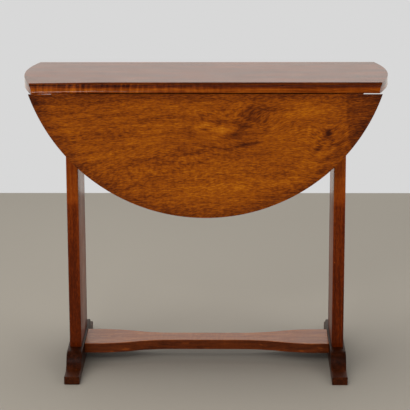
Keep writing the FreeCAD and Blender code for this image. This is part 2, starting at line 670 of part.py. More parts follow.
def makeWing(side):
    """Butterfly wing, drawn about its pivot and folded along the spine rail. Its outer top
    edge falls away and is bevelled on the leading face, so that it slides in under the
    leaf's bearer."""
    body = newBody(f"{side}_wing")
    outline = newSketch(body, "XZ_Plane", "Outline")
    drawProfile(outline, [
        ("-wingHalf", "wingUnder"),
        ("wingHeelLong", "wingUnder", "wingLowerSweep", -1),
        ("wingLong", "wingTipUnder"),
        ("wingLong", "wingTipTop"),
        ("wingShoulder", "wingTop"),
        ("-wingHalf", "wingTop"),
    ])
    pad(body, outline, "Sizes.wingThick", middle=True)
    ease(body, "Sizes.wingHeelRound", lambda edge: isAlong(edge, Vector(0, 0, 1))
         and edge.CenterOfMass.x < 0, "Fillet")
    ease(body, "Sizes.wingTipRound", lambda edge: isAlong(edge, Vector(0, 1, 0))
         and edge.CenterOfMass.x > size("wingLong") - nearby, "Fillet")
    bevel = newSketch(body, "YZ_Plane", "Bevel", "wingLong")
    drawProfile(bevel, [
        ("-wingHalf", "bevelLow"),
        ("rampCrest", "wingTipTop"),
        ("rampCrest", "bevelHigh"),
        ("-bevelOut", "bevelHigh"),
        ("-bevelOut", "bevelUnder"),
    ])
    cut = pocket(body, bevel, "Sizes.wingLong")
    cut.UseCustomVector = True
    cut.Direction = Vector(size("wingShoulder") - size("wingLong"), 0, size("wingFall"))
    cut.AlongSketchNormal = True
    doc.recompute()
    for level, upwards in (("wingTop", False), ("wingUnder", True)):
        socket = newSketch(body, "XY_Plane", "PinHole", level)
        drawCircle(socket, "0", "0", "wingPinRadius")
        pocket(body, socket, "Sizes.wingPinDeep", up=upwards)
    body.Placement = Placement(Vector(-size("wingPivotOut"), -size("wingPivotY"), 0), Rotation())
    halfTurn(body, side == "rear")


def makePivotBlock(side):
    """Block on the spine rail that carries a wing on its lower pin."""
    body = newBody(f"{side}_pivot_block")
    plan = newSketch(body, "XY_Plane", "Plan", "blockUnder")
    drawBox(plan, "-blockOuter", "-blockFace", "-blockInner", "-spineHalf")
    pad(body, plan, "Sizes.blockDeep")
    ease(body, "Sizes.blockRound", lambda edge: isAlong(edge, Vector(0, 0, 1))
         and edge.CenterOfMass.y < -size("spineHalf") - nearby)
    socket = newSketch(body, "XY_Plane", "PinSocket", "blockTop")
    drawCircle(socket, "-wingPivotOut", "-wingPivotY", "pinSocketRadius")
    pocket(body, socket, "Sizes.wingPinLong - Sizes.wingPinDeep")
    halfTurn(body, side == "rear")


def makeBearer(side):
    """Bearer under a leaf, drawn along the open wing: a ramp that follows the wing's
    bevelled edge and a stop for its leading face."""
    body = newBody(f"{side}_bearer")
    sections = []
    for place, ahead, ramp, stop in (
            ("bearerStart", "aheadStart", "rampStart", "stopStart"),
            ("bearerEnd", "aheadEnd", "rampEnd", "stopEnd")):
        section = newSketch(body, "YZ_Plane", "Section", place)
        drawProfile(section, [
            ("-stopOuter", "underside"),
            ("-stopOuter", stop),
            ("-stopEdge", stop),
            ("-stopEdge", ramp),
            ("bearerAheadEdge", ahead),
            ("bearerAheadEdge", "underside"),
        ])
        sections.append(section)
    loft = body.newObject("PartDesign::AdditiveLoft", "Loft")
    loft.Profile = sections[0]
    loft.Sections = sections[1:]
    loft.Ruled = True
    doc.recompute()
    body.Placement = openWing()
    hang(body, side == "rear")


def openWing():
    """From the wing's own drawing to where it stands when it is open."""
    return Placement(Vector(-size("wingPivotOut"), -size("wingPivotY"), 0),
                     Rotation(Vector(0, 0, 1), -size("wingSwing")))


def taperedPrism(lowRadius, highRadius, low, high):
    """Many-sided prism or frustum about +Z, the plain form of a turned fastener."""
    rings = []
    for radius, level in ((lowRadius, low), (highRadius, high)):
        corners = [Vector(radius * math.cos(turn), radius * math.sin(turn), level)
                   for turn in (2 * math.pi * n / size("screwFaces")
                                for n in range(int(size("screwFaces"))))]
        rings.append(Part.makePolygon(corners + corners[:1]))
    return Part.makeLoft(rings, True, True)


def roundScrew(length):
    """Round-head screw that points along +Z, with the seat of its head at the origin."""
    radius, head, deep = size("screwRadius"), size("screwHead"), size("screwHeadDeep")
    cap = taperedPrism(size("screwCrown"), head, -deep, 0)
    shank = taperedPrism(radius, radius, 0, length - radius)
    point = taperedPrism(radius, size("screwTip"), length - radius, length)
    return cap.fuse([shank, point]).removeSplitter()


def flatScrew(radius, head, deep, length):
    """Countersunk screw that points along +Z, with its flat head in the plane z = 0."""
    cone = taperedPrism(head, radius, 0, deep)
    shank = taperedPrism(radius, radius, deep, length - radius)
    point = taperedPrism(radius, size("screwTip"), length - radius, length)
    return cone.fuse([shank, point]).removeSplitter()


def makeGroup(label, shape, places):
    """Identical small pieces that share one node, one solid at each placement."""
    group = doc.addObject("Part::Feature", label.title().replace("_", ""))
    group.Label = label
    copies = [shape.transformed(place.toMatrix()) for place in places]
    group.Shape = Part.makeCompound(copies)
    subparts.append(group)
    return group


def bothEnds(places):
    """The placements and the same ones turned by 180 degrees about the table's middle."""
    turn = Placement(Vector(), Rotation(Vector(0, 0, 1), 180))
    return places + [turn.multiply(place) for place in places]


def makeCleatScrews():
    """Two screws up into the top and two into the plank through each cleat."""
    places = []
    for sign in (-1, 1):
        for spot in ("uprightStart", "uprightFinish"):
            seat = Vector(size("cleatMiddle"), sign * size(spot), size("cleatUnder"))
            places.append(Placement(seat, Rotation()))
        for spot in ("levelStart", "levelFinish"):
            seat = Vector(size("cleatInner"), sign * size(spot), size("cleatHeight"))
            places.append(Placement(seat, Rotation(Vector(0, 1, 0), 90)))
    makeGroup("cleat_screws", roundScrew(size("screwLong")), bothEnds(places))


def makeBlockScrews():
    """Two screws through each pivot block into the spine rail."""
    places = []
    for spot in ("-blockScrewFar", "-blockScrewNear"):
        seat = Vector(size(spot), -size("blockFace"), size("blockMiddle"))
        places.append(Placement(seat, Rotation(Vector(1, 0, 0), -90)))
    makeGroup("pivot_block_screws", roundScrew(size("screwLong")), bothEnds(places))


def makeHingeScrews():
    """Countersunk screws of the hinges, grouped by the body that they are driven into."""
    level = size("plateUnder")
    screw = flatScrew(size("smallScrewRadius"), size("smallScrewHead"), size("plateThick"),
                      size("smallScrewLong"))
    for isLeafPlate in (False, True):
        places = []
        for across in ("", "-"):
            for acrossTerm, alongTerm in hingeScrewTerms(across, isLeafPlate):
                places.append(Placement(Vector(size(acrossTerm), size(alongTerm), level),
                                        Rotation()))
        if isLeafPlate:
            for side in ("front", "rear"):
                group = makeGroup(f"{side}_leaf_hinge_screws", screw, places)
                hang(group, side == "rear")
        else:
            makeGroup("top_hinge_screws", screw, bothEnds(places))


def makeBearerScrews(side):
    """Two countersunk screws through a bearer into its leaf, square to the ramp and sunk
    in it, clear of the wing."""
    inward = Vector(size("wingSlope"), -size("rampSlope"), 1).normalize()
    places = []
    for spot, level in (("bearerScrewFirst", "seatFirst"), ("bearerScrewLast", "seatLast")):
        seat = Vector(size(spot), size("bearerScrewSide"), size(level))
        upright = Placement(seat + inward * size("bearerGap"), Rotation(Vector(0, 0, 1), inward))
        places.append(openWing().multiply(upright))
    screw = flatScrew(size("screwRadius"), size("screwHead"), size("screwHeadDeep"),
                      size("bearerScrewLong"))
    group = makeGroup(f"{side}_bearer_screws", screw, places)
    hang(group, side == "rear")


def makeWingPins(side):
    """Upper and lower pivot pin, tight in the wing and free in the top and the block."""
    pin = Part.makeCylinder(size("wingPinRadius"), size("wingPinLong") - size("runGap"))
    upper = Vector(-size("wingPivotOut"), -size("wingPivotY"), size("wingTop") - size("wingPinDeep"))
    lower = Vector(upper.x, upper.y, size("wingUnder") + size("wingPinDeep") - pin.BoundBox.ZLength)
    places = [Placement(upper, Rotation()), Placement(lower, Rotation())]
    halfTurn(makeGroup(f"{side}_wing_pins", pin, places), side == "rear")


def checkAndWrite():
    """Stops at a failed object or a bad shape, then writes one STEP file for each sub-part."""
    doc.recompute()
    for item in doc.Objects:
        if "Invalid" in item.State or "Error" in item.State:
            raise ValueError(f"{item.Label} failed: {item.State}")
    for part in subparts:
        if part.Shape.isNull() or not part.Shape.isValid():
            raise ValueError(f"{part.Label} has a bad shape")
    os.makedirs("parts", exist_ok=True)
    for part in subparts:
        part.Shape.exportStep(f"parts/{part.Label}.step")
        print(part.Label, len(part.Shape.Solids), round(part.Shape.Volume))


fillSheet()
makeTopBoard()
makeStretcher()
makeSpine()
for hand in ("left", "right"):
    makePlank(hand)
    makeFoot(hand)
for side in ("front", "rear"):
    makeLeaf(side)
    makeWing(side)
    makeWingPins(side)
    makePivotBlock(side)
    makeBearer(side)
    makeBearerScrews(side)
    for hand in ("left", "right"):
        makeCleat(side, hand)
        makeHingePlate(side, hand, False)
        makeHingePlate(side, hand, True)
        makeHingePin(side, hand)
makeCleatScrews()
makeBlockScrews()
makeHingeScrews()
checkAndWrite()
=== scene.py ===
import math

import bmesh
import bpy
import numpy as np
from mathutils import Matrix, Vector


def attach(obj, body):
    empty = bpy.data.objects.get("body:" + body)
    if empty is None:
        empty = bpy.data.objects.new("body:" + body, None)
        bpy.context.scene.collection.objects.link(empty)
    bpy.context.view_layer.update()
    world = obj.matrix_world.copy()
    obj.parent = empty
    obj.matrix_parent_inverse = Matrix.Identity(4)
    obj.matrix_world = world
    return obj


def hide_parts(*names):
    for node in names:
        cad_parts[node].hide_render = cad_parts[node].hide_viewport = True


# Butterfly folding table in polished figured timber. The frame is in metres, +Z up and -Y the
# front. Shapes are worked out in millimetres, as functions of two parameters on a grid.

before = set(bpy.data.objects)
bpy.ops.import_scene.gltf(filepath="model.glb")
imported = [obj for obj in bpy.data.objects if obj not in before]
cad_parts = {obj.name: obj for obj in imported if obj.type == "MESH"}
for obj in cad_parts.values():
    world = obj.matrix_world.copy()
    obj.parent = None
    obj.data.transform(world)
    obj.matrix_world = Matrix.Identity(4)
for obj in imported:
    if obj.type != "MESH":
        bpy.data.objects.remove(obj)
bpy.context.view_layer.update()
mm = 0.001
farMm = 1e6                  # depth of a flat pattern that goes right through a board
usualRange = (0.3, 0.7)      # a noise seldom leaves it
sharpAngle = 32              # degrees between two faces that make a sharp edge

table = {
    "radius": 400,           # round top
    "top": 660,
    "under": 640,            # underside of the boards
    "pinOut": 127,           # hinge pins from the centre line
    "pinHeight": 638,
}


def buildPiece(name, points, faces):
    # Millimetres to metres, doubles merged, faces turned outwards.
    mesh = bpy.data.meshes.new(name)
    mesh.from_pydata((np.asarray(points, float).reshape(-1, 3) * mm).tolist(), [], faces)
    work = bmesh.new()
    work.from_mesh(mesh)
    bmesh.ops.remove_doubles(work, verts=work.verts, dist=1e-6)
    bmesh.ops.dissolve_degenerate(work, edges=work.edges, dist=1e-6)
    bmesh.ops.recalc_face_normals(work, faces=work.faces)
    work.to_mesh(mesh)
    work.free()
    mesh.shade_smooth()
    piece = bpy.data.objects.new(name, mesh)
    bpy.context.scene.collection.objects.link(piece)
    return piece


def platePoints(low, high):
    # Two grids of one shape are the two faces of a board, and a wall joins their borders.
    # Gives the points of both, one after the other, and their quads.
    rows, columns = low.shape[:2]
    index = np.arange(rows * columns).reshape(rows, columns)
    quads = np.stack([index[:-1, :-1], index[1:, :-1], index[1:, 1:], index[:-1, 1:]], -1)
    quads = quads.reshape(-1, 4)
    border = np.concatenate([index[0, :-1], index[:-1, -1], index[-1, :0:-1], index[:0:-1, 0]])
    follow = np.roll(border, -1)
    size = rows * columns
    wall = np.stack([border, follow, follow + size, border + size], -1)
    faces = np.concatenate([quads[:, ::-1], quads + size, wall])
    return np.concatenate([low.reshape(-1, 3), high.reshape(-1, 3)]), faces


def prismPoints(loop, ends):
    # A closed loop (across, along) carried from one level to the next, with flat ends.
    count = len(loop)
    points = np.concatenate([np.column_stack([loop, np.full(count, level)]) for level in ends])
    start = np.arange(count)
    following = np.roll(start, -1)
    sides = np.stack([start, following, following + count, start + count], -1).tolist()
    return points, sides + [start[::-1].tolist(), (start + count).tolist()]


def asGrid(x, y, z):
    # Three arrays that broadcast to one shape, as one grid of points.
    return np.stack(np.broadcast_arrays(x, y, z), -1).astype(float)


def hang(points):
    # From the open top to a leaf hanging in front: a quarter turn about the hinge pin.
    swung = points.copy()
    swung[..., 1] = -table["pinOut"] - (points[..., 2] - table["pinHeight"])
    swung[..., 2] = table["pinHeight"] + (points[..., 1] + table["pinOut"])
    return swung


def halfTurn(points, isRear):
    # The table repeats itself half a turn round, so rear pieces are front ones turned.
    return points * np.array([-1, -1, 1]) if isRear else points


def softenEdges(piece, width):
    # Rounds every edge sharper than the angle, and keeps the flat faces flat.
    bevel = piece.modifiers.new("Arris", "BEVEL")
    bevel.width = width * mm
    bevel.segments = 3
    bevel.limit_method = "ANGLE"
    bevel.angle_limit = math.radians(sharpAngle)
    bevel.harden_normals = True
    bevel.use_clamp_overlap = True


def place(piece, body, slot, material, *nodes):
    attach(piece, body)
    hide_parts(*nodes)
    piece.data.materials.clear()
    piece.data.materials.append(material)


def toLinear(colour):
    # "#rrggbb" in sRGB to linear RGBA.
    parts = [int(colour[n:n + 2], 16) / 255 for n in (1, 3, 5)]
    return [p / 12.92 if p <= 0.04045 else ((p + 0.055) / 1.055) ** 2.4 for p in parts] + [1]


def add(tree, kind, inputs=None, stops=None, **settings):
    # Adds one node: its settings, then its inputs (a socket is linked, a value is set), and
    # the stops of a ramp.
    node = tree.nodes.new("ShaderNode" + kind)
    for key, value in settings.items():
        setattr(node, key, value)
    for key, value in (inputs or {}).items():
        if isinstance(value, bpy.types.NodeSocket):
            tree.links.new(value, node.inputs[key])
        else:
            node.inputs[key].default_value = value
    if stops:
        band = node.color_ramp.elements
        while len(band) < len(stops):
            band.new(0.5)
        for spot, (position, colour) in zip(band, stops):
            spot.position = position
            spot.color = toLinear(colour)
    return node


def newMaterial(name):
    material = bpy.data.materials.new(name)
    material.use_nodes = True
    tree = material.node_tree
    tree.nodes.clear()
    shader = add(tree, "BsdfPrincipled")
    add(tree, "OutputMaterial", {"Surface": shader.outputs[0]})
    return material, tree, shader


def compute(tree, operation, *values):
    return add(tree, "Math", dict(enumerate(values)), operation=operation).outputs[0]


def drawnOut(tree, vector, size):
    # A pattern drawn out to a length along the grain and a width across it, both in mm.
    long, broad = size
    return add(tree, "VectorMath", {0: vector, 1: (1 / long, 1 / broad, 1 / broad)},
               operation="MULTIPLY").outputs[0]


def fromMiddle(tree, vector, oval):
    # Distance from the middle of an oval, 1 at its rim. The oval goes right through the
    # board, or is on one face of it where a third number gives the depth.
    inOval = add(tree, "Mapping", {"Vector": vector, "Location": (*oval["at"], 0)[:3],
                                   "Rotation": (0, 0, math.radians(oval.get("tilt", 0))),
                                   "Scale": (*oval["size"], farMm)[:3]},
                 vector_type="TEXTURE").outputs[0]
    return add(tree, "VectorMath", {0: inOval}, operation="LENGTH").outputs["Value"]


def grainHeight(tree, look, stretched, along, up, through):
    # Height across the grain in mm: up, moved by a slow wander of the grain, by its slant
    # through the board, by its climb to the right and by each swirl.
    wide = add(tree, "VectorMath", {0: stretched, 1: look["wanderShape"]},
               operation="MULTIPLY").outputs[0]
    wander = add(tree, "TexNoise", {"Vector": wide, "W": look["seed"], "Detail": 2,
                                    "Scale": 1 / look["wanderSize"]},
                 noise_dimensions="4D").outputs[0]
    height = compute(tree, "MULTIPLY_ADD", wander, look["wander"], up)
    height = compute(tree, "MULTIPLY_ADD", through, look["slant"], height)
    climb = -math.tan(math.radians(look["rise"]))
    height = compute(tree, "MULTIPLY_ADD", along, climb, height)
    for swirl in look["swirls"]:
        reach = fromMiddle(tree, stretched, swirl)
        lift = add(tree, "MapRange", {"Value": reach, 3: swirl["lift"], 4: 0},
                   interpolation_type="SMOOTHERSTEP").outputs[0]
        height = compute(tree, "ADD", height, lift)
    return height


def drawStreaks(tree, look, grain):
    # Streaks, lines and flecks, each with its length along the grain and its width across.
    # Gives the tone and the noise of each layer.
    tone = look["base"]
    noises = []
    for layer in look["layers"]:
        least, most = layer.get("from", usualRange)
        drawn = drawnOut(tree, grain, layer["size"])
        noise = add(tree, "TexNoise", {"Vector": drawn, "W": look["seed"] + layer["size"][0],
                                       "Scale": 1, "Detail": layer["detail"],
                                       "Roughness": 0.6}, noise_dimensions="4D").outputs[0]
        part = add(tree, "MapRange", {"Value": noise, 1: least, 2: most,
                                      3: -layer["gain"], 4: layer["gain"]},
                   interpolation_type="SMOOTHSTEP").outputs[0]
        tone = compute(tree, "ADD", tone, part)
        noises.append(noise)
    return tone, noises


def drawCurl(tree, look, tone, stretched, level):
    # Curl, short waves across the grain, strongest about one place.
    curl = look["curl"]
    waves = drawnOut(tree, stretched, curl["size"])
    wave = add(tree, "TexNoise", {"Vector": waves, "Scale": 1, "Detail": 1,
                                  "Distortion": 0.4}).outputs[0]
    reach = fromMiddle(tree, stretched, {"at": curl["at"], "size": curl["reach"]})
    strength = add(tree, "MapRange", {"Value": reach, 3: curl["most"], 4: curl["least"]},
                   interpolation_type="SMOOTHSTEP").outputs[0]
    if "quiet" in look:
        shown = compute(tree, "LESS_THAN", level, look["quiet"])
        strength = compute(tree, "MULTIPLY", strength, shown)
    swing = compute(tree, "SUBTRACT", wave, 0.5)
    return compute(tree, "MULTIPLY_ADD", swing, strength, tone)


def drawSpots(tree, look, tone, stretched, torn):
    # Darker and lighter ovals, whose edges a noise tears.
    for spot in look["spots"]:
        reach = fromMiddle(tree, stretched, spot)
        ragged = compute(tree, "MULTIPLY_ADD", torn, spot["ragged"], reach)
        edge = 1 + spot["ragged"] / 2
        change = add(tree, "MapRange", {"Value": ragged, 1: edge - spot.get("soft", 1), 2: edge,
                                        3: spot["change"], 4: 0},
                     interpolation_type="SMOOTHSTEP").outputs[0]
        if "rings" in spot:
            # rings like those round a knot, fading outwards
            turns = compute(tree, "MULTIPLY", ragged, 2 * math.pi * spot["rings"])
            ring = compute(tree, "COSINE", turns)
            change = compute(tree, "MULTIPLY", ring, change)
        tone = compute(tree, "ADD", tone, change)
    return tone


def drawLightBandsAndWear(tree, look, tone, inMm, stretched, level):
    # Bands by height, which are painted shade, painted highlights and painted reflections, small
    # places where the stain has gone, and the darker rim.
    # each band is painted light or painted shade
    for lowest, highest, before, after in look["levels"]:
        band = add(tree, "MapRange", {"Value": level, 1: lowest, 2: highest,
                                      3: before, 4: after}).outputs[0]
        tone = compute(tree, "ADD", tone, band)
    chips = look["chips"]
    scattered = drawnOut(tree, stretched, chips["size"])
    worn = add(tree, "TexNoise", {"Vector": scattered, "W": look["seed"] + 0.5, "Scale": 1,
                                  "Detail": 1}, noise_dimensions="4D").outputs[0]
    worn = add(tree, "MapRange", {"Value": worn, 1: chips["over"], 2: chips["over"] + 0.04,
                                  3: 0, 4: chips["gain"]}).outputs[0]
    tone = compute(tree, "ADD", tone, worn)
    if "rim" not in look:
        return tone
    rim = look["rim"]
    fromCentre = add(tree, "VectorMath", {0: inMm, 1: rim["centre"]},
                     operation="SUBTRACT").outputs[0]
    flat = add(tree, "VectorMath", {0: fromCentre, 1: rim["flatten"]},
               operation="MULTIPLY").outputs[0]
    reach = add(tree, "VectorMath", {0: flat}, operation="LENGTH").outputs["Value"]
    change = add(tree, "MapRange", {"Value": reach, 1: rim["from"], 2: table["radius"],
                                    3: 0, 4: rim["change"]},
                 interpolation_type="SMOOTHSTEP").outputs[0]
    return compute(tree, "ADD", tone, change)


def polishedWood(name, look):
    # Figured timber under French polish. Everything is laid out along the grain: a height
    # field that swirls bend is cut by stretched noise into streaks, pores and flecks, and
    # curl runs across it. The polish is a clear coat, smooth and a little uneven, which
    # gives the eye a deep warm colour under a soft mirror.
    material, tree, shader = newMaterial(name)
    metres = add(tree, "TexCoord").outputs["Object"]
    inMm = add(tree, "VectorMath", {0: metres, "Scale": 1 / mm}, operation="SCALE").outputs[0]
    axes = add(tree, "SeparateXYZ", {0: inMm}).outputs
    along, up, through = (axes["XYZ".index(axis)] for axis in look["axes"])
    stretched = add(tree, "CombineXYZ", {0: along, 1: up, 2: through}).outputs[0]
    height = grainHeight(tree, look, stretched, along, up, through)
    grain = add(tree, "CombineXYZ", {0: along, 1: height, 2: through}).outputs[0]
    tone, noises = drawStreaks(tree, look, grain)
    tone = drawCurl(tree, look, tone, stretched, axes["Z"])
    tone = drawSpots(tree, look, tone, stretched, noises[1])
    tone = drawLightBandsAndWear(tree, look, tone, inMm, stretched, axes["Z"])

    shades = look["colours"]
    stops = [(number / (len(shades) - 1), shade) for number, shade in enumerate(shades)]
    colour = add(tree, "ValToRGB", {0: tone}, stops=stops).outputs[0]
    bump = add(tree, "Bump", {"Height": noises[-1], "Distance": look["poreDepth"] * mm,
                              "Strength": 0.15}).outputs[0]
    uneven = add(tree, "TexNoise", {"Vector": inMm, "Scale": 1 / look["waveSize"],
                                    "Detail": 2}).outputs[0]
    coatBump = add(tree, "Bump", {"Height": uneven, "Distance": look["waveDepth"] * mm,
                                  "Strength": 0.5}).outputs[0]
    least, most = usualRange
    smooth, dull = look["handled"]
    handled = add(tree, "MapRange", {"Value": uneven, 1: least, 2: most,
                                     3: look["roughness"] * smooth,
                                     4: look["roughness"] * dull}).outputs[0]
    tree.links.new(colour, shader.inputs["Base Color"])
    tree.links.new(bump, shader.inputs["Normal"])
    tree.links.new(coatBump, shader.inputs["Coat Normal"])
    tree.links.new(handled, shader.inputs["Roughness"])
    shader.inputs["Specular IOR Level"].default_value = look["sheen"]
    shader.inputs["Coat Weight"].default_value = look["polish"]
    shader.inputs["Coat Roughness"].default_value = look["polishRoughness"]
    shader.inputs["Coat IOR"].default_value = look["polishIor"]
    return material


figure = {
    # Long soft streaks, mottle, grain lines and short flecks. Sizes are in mm. The flecks
    # stand for pores, and are about ten times too coarse so that they show.
    "base": 0.5,
    "layers": [
        {"size": (150, 16), "detail": 2, "gain": 0.05},
        {"size": (46, 9), "detail": 3, "gain": 0.08},
        {"size": (18, 2.8), "detail": 2, "gain": 0.08},
        {"size": (6, 2.6), "detail": 1, "gain": 0.14},
    ],
    "curl": {"size": (5, 38), "at": (0, 0), "reach": (300, 300), "least": 0.06, "most": 0.2},
    "chips": {"size": (9, 4), "over": 0.7, "gain": 0.0},
    "levels": [],            # painted light and shade in bands by height: two heights and the change of tone at each
    "seed": 3,
    "wander": 22,            # the grain wanders this far up and down
    "wanderSize": 90,
    "wanderShape": (0.35, 1, 1),
    "slant": 0.5,            # shift of the figure for each mm through the board
    "rise": 0,               # degrees that the grain climbs to the right
    "swirls": [],            # ovals that lift the grain in their middle
    "spots": [],             # ovals that are darker or lighter, some with rings
    "roughness": 0.42,
    "sheen": 0.02,
    "poreDepth": 0.02,
    "handled": (0.85, 1.2),  # least and most of the roughness where hands have been
    "polish": 0.6,
    "polishIor": 1.35,
    "polishRoughness": 0.12,
    "waveSize": 60,          # the polish is uneven over this length
    "waveDepth": 0.25,
}

leafLook = figure | {
    "axes": "XZY",           # along the grain, across it and through the board
    "base": 0.455,
    "layers": [
        {"size": (190, 18), "detail": 2, "gain": 0.07},
        {"size": (60, 9), "detail": 3, "gain": 0.05},
        {"size": (30, 2.6), "detail": 2, "gain": 0.055},
        {"size": (9, 1.5), "detail": 1, "gain": 0.15},
    ],
    "wander": 60,
    "wanderSize": 150,
    "rise": 4,
    "colours": ["#3f1400", "#6e2e02", "#9d4c03", "#c26c08", "#e29a26"],
    "curl": {"size": (5.4, 14), "at": (-60, 470), "reach": (420, 200), "least": 0.08,
             "most": 0.24},
    "swirls": [
        {"at": (66, 566), "tilt": -4, "size": (150, 62), "lift": 26},
        {"at": (-60, 520), "tilt": 12, "size": (260, 60), "lift": -18},
        {"at": (262, 530), "tilt": 50, "size": (80, 60), "lift": 20},
    ],
    "spots": [
        {"at": (44, 562), "tilt": 4, "size": (150, 70), "rings": 3.2, "ragged": 0.45,
         "change": 0.1},
        {"at": (0, 566), "tilt": 10, "size": (48, 30), "rings": 1.3, "ragged": 0.9,
         "change": 0.14},
        {"at": (258, 528), "tilt": 50, "size": (70, 50), "rings": 2.6, "ragged": 1.4,
         "change": 0.15},
        {"at": (90, 566), "tilt": 66, "size": (70, 40), "ragged": 0.35, "change": -0.2},
        {"at": (52, 548), "tilt": 24, "size": (54, 16), "ragged": 0.4, "change": -0.12},
        {"at": (130, 566), "tilt": 84, "size": (34, 10), "ragged": 0.5, "change": -0.08},
        {"at": (98, 524), "tilt": 28, "size": (44, 7), "ragged": 0.4, "change": -0.08},
        {"at": (30, 607), "tilt": -8, "size": (90, 6), "ragged": 0.5, "change": -0.12},
        {"at": (24, 552), "tilt": 10, "size": (36, 24), "ragged": 0.4, "change": 0.18},
        {"at": (86, 527), "tilt": 12, "size": (66, 6), "ragged": 0.5, "change": -0.24},
        {"at": (-20, 510), "tilt": 11, "size": (78, 8), "ragged": 0.6, "change": -0.2},
        {"at": (-120, 494), "tilt": 9, "size": (80, 8), "ragged": 0.8, "change": -0.15},
        {"at": (-30, 484), "tilt": 16, "size": (90, 8), "ragged": 0.8, "change": -0.12},
        {"at": (70, 608), "tilt": -2, "size": (110, 9), "ragged": 0.8, "change": -0.12},
        {"at": (266, 552), "tilt": 64, "size": (22, 9), "ragged": 0.7, "change": -0.24},
        {"at": (286, 530), "tilt": 20, "size": (26, 8), "ragged": 0.7, "change": -0.24},
        {"at": (240, 516), "tilt": 50, "size": (28, 9), "ragged": 0.7, "change": -0.22},
        {"at": (264, 500), "tilt": 30, "size": (34, 8), "ragged": 0.7, "change": -0.24},
        {"at": (222, 552), "tilt": 80, "size": (44, 8), "ragged": 0.7, "change": 0.14},
        {"at": (250, 470), "tilt": 40, "size": (24, 9), "ragged": 0.8, "change": -0.18},
        {"at": (452, 590), "tilt": 6, "size": (150, 320), "soft": 0.04, "ragged": 0.03,
         "change": -0.135},
        {"at": (-410, 600), "size": (120, 180), "ragged": 0.4, "change": -0.13},
        {"at": (-200, 560), "size": (110, 45), "ragged": 0.8, "change": -0.04},
        {"at": (230, 602), "size": (80, 34), "ragged": 0.8, "change": 0.1},
        {"at": (10, 430), "size": (130, 45), "ragged": 0.8, "change": 0.08},
    ],
    # painted shade in a band just under the top board
    "levels": [(612, 634, 0, -0.17)],
    "rim": {"centre": (0, 0, 765), "flatten": (1, 0, 1), "from": 366, "change": -0.16},
}

topLook = figure | {
    "axes": "XYZ",
    "seed": 11,
    "slant": 1.0,
    "layers": [
        {"size": (260, 30), "detail": 2, "gain": 0.08},
        {"size": (90, 7), "detail": 2, "gain": 0.09},
        {"size": (14, 3), "detail": 2, "gain": 0.07},
    ],
    "curl": {"size": (7, 60), "at": (-290, 0), "reach": (430, 900), "least": 0.15,
             "most": 0.9},
    "quiet": 656.5,          # the flat above this has no curl
    "spots": [
        {"at": (387, 61), "tilt": 20, "size": (7, 10), "ragged": 0.3, "change": -0.4},
        {"at": (331, -51), "size": (6, 10), "ragged": 0.3, "change": -0.35},
        {"at": (-392, -55), "tilt": 70, "size": (12, 5), "ragged": 0.3, "change": -0.4},
        {"at": (-331, -25), "size": (5, 8), "ragged": 0.3, "change": -0.25},
    ],
    # painted light on the moulding: painted shade over the upper ovolo, the fillet and the flat,
    # the flat brought part of the way back up, a painted pale reflection line at the foot of the
    # fillet with a painted dark line just above it, and painted shade at the foot of the ovolo
    # over the gap
    "levels": [(647, 653, 0.07, -0.34), (640.4, 641.4, -0.1, 0), (656, 657.5, 0, 0.08),
               (655, 655.4, 0, 0.32), (656.4, 656.8, 0, -0.25)],
    "colours": ["#240802", "#4c1a03", "#7a3404", "#9e4f0a", "#bb6a14"],
    "polish": 0.86,
    "sheen": 0.01,
    "polishIor": 1.3,
    "polishRoughness": 0.14,
}

plankLook = figure | {
    "axes": "ZYX",
    "seed": 21,
    "layers": [
        {"size": (160, 8), "detail": 2, "gain": 0.07},
        {"size": (50, 3), "detail": 2, "gain": 0.06},
        {"size": (10, 2.4), "detail": 1, "from": (0.35, 0.65), "gain": 0.06},
    ],
    "colours": ["#330d00", "#5c1e02", "#8a3705", "#aa500c", "#c56f20"],
    "curl": {"size": (6, 40), "at": (450, 0), "reach": (220, 900), "least": 0.05, "most": 0.2},
    # painted reflection and painted shade: darker low down, lighter higher up
    "levels": [(60, 360, -0.3, -0.17), (320, 480, 0, 0.12)],
    "spots": [
        # painted highlight: the front and back edges lighter in their upper part
        {"at": (570, -88), "size": (200, 14), "soft": 0.1, "ragged": 0.05,
         "change": 0.2},
        {"at": (570, 88), "size": (200, 14), "soft": 0.1, "ragged": 0.05,
         "change": 0.2},
        # painted light: the inner faces are painted paler, as light from the room falls on them
        {"at": (330, 0, -281), "size": (500, 160, 5), "ragged": 0.1, "change": 0.4},
        {"at": (330, 0, 281), "size": (500, 160, 5), "ragged": 0.1, "change": 0.4},
    ],
    "chips": {"size": (5, 3), "over": 0.74, "gain": 0.4},
    "polish": 0.35,
    "polishRoughness": 0.15,
}

footLook = figure | {
    "axes": "YXZ",
    "base": 0.47,
    "seed": 31,
    "colours": ["#0c0200", "#1a0600", "#2c0d00", "#431903", "#602d0b"],
    "chips": {"size": (6, 4), "over": 0.7, "gain": 0.3},
    # painted sheen: the toe lighter than the foot above it
    "levels": [(30, 16, 0, 0.2)],
    "polish": 0.4,
    "polishRoughness": 0.42,
}

stretcherLook = figure | {
    "axes": "XYZ",
    "seed": 41,
    "slant": 1.0,
    "colours": ["#220a00", "#431701", "#6c2d08", "#914615", "#b4682c"],
    "layers": [
        {"size": (160, 16), "detail": 2, "gain": 0.08},
        {"size": (60, 6), "detail": 2, "gain": 0.07},
        {"size": (16, 2.6), "detail": 2, "gain": 0.06},
    ],
    "chips": {"size": (26, 8), "over": 0.64, "gain": 0.2},
    # painted sheen: the top face lighter and the sides darker
    "levels": [(45.1, 46.3, -0.1, 0.34)],
    "polish": 0.82,
    "polishRoughness": 0.25,
}

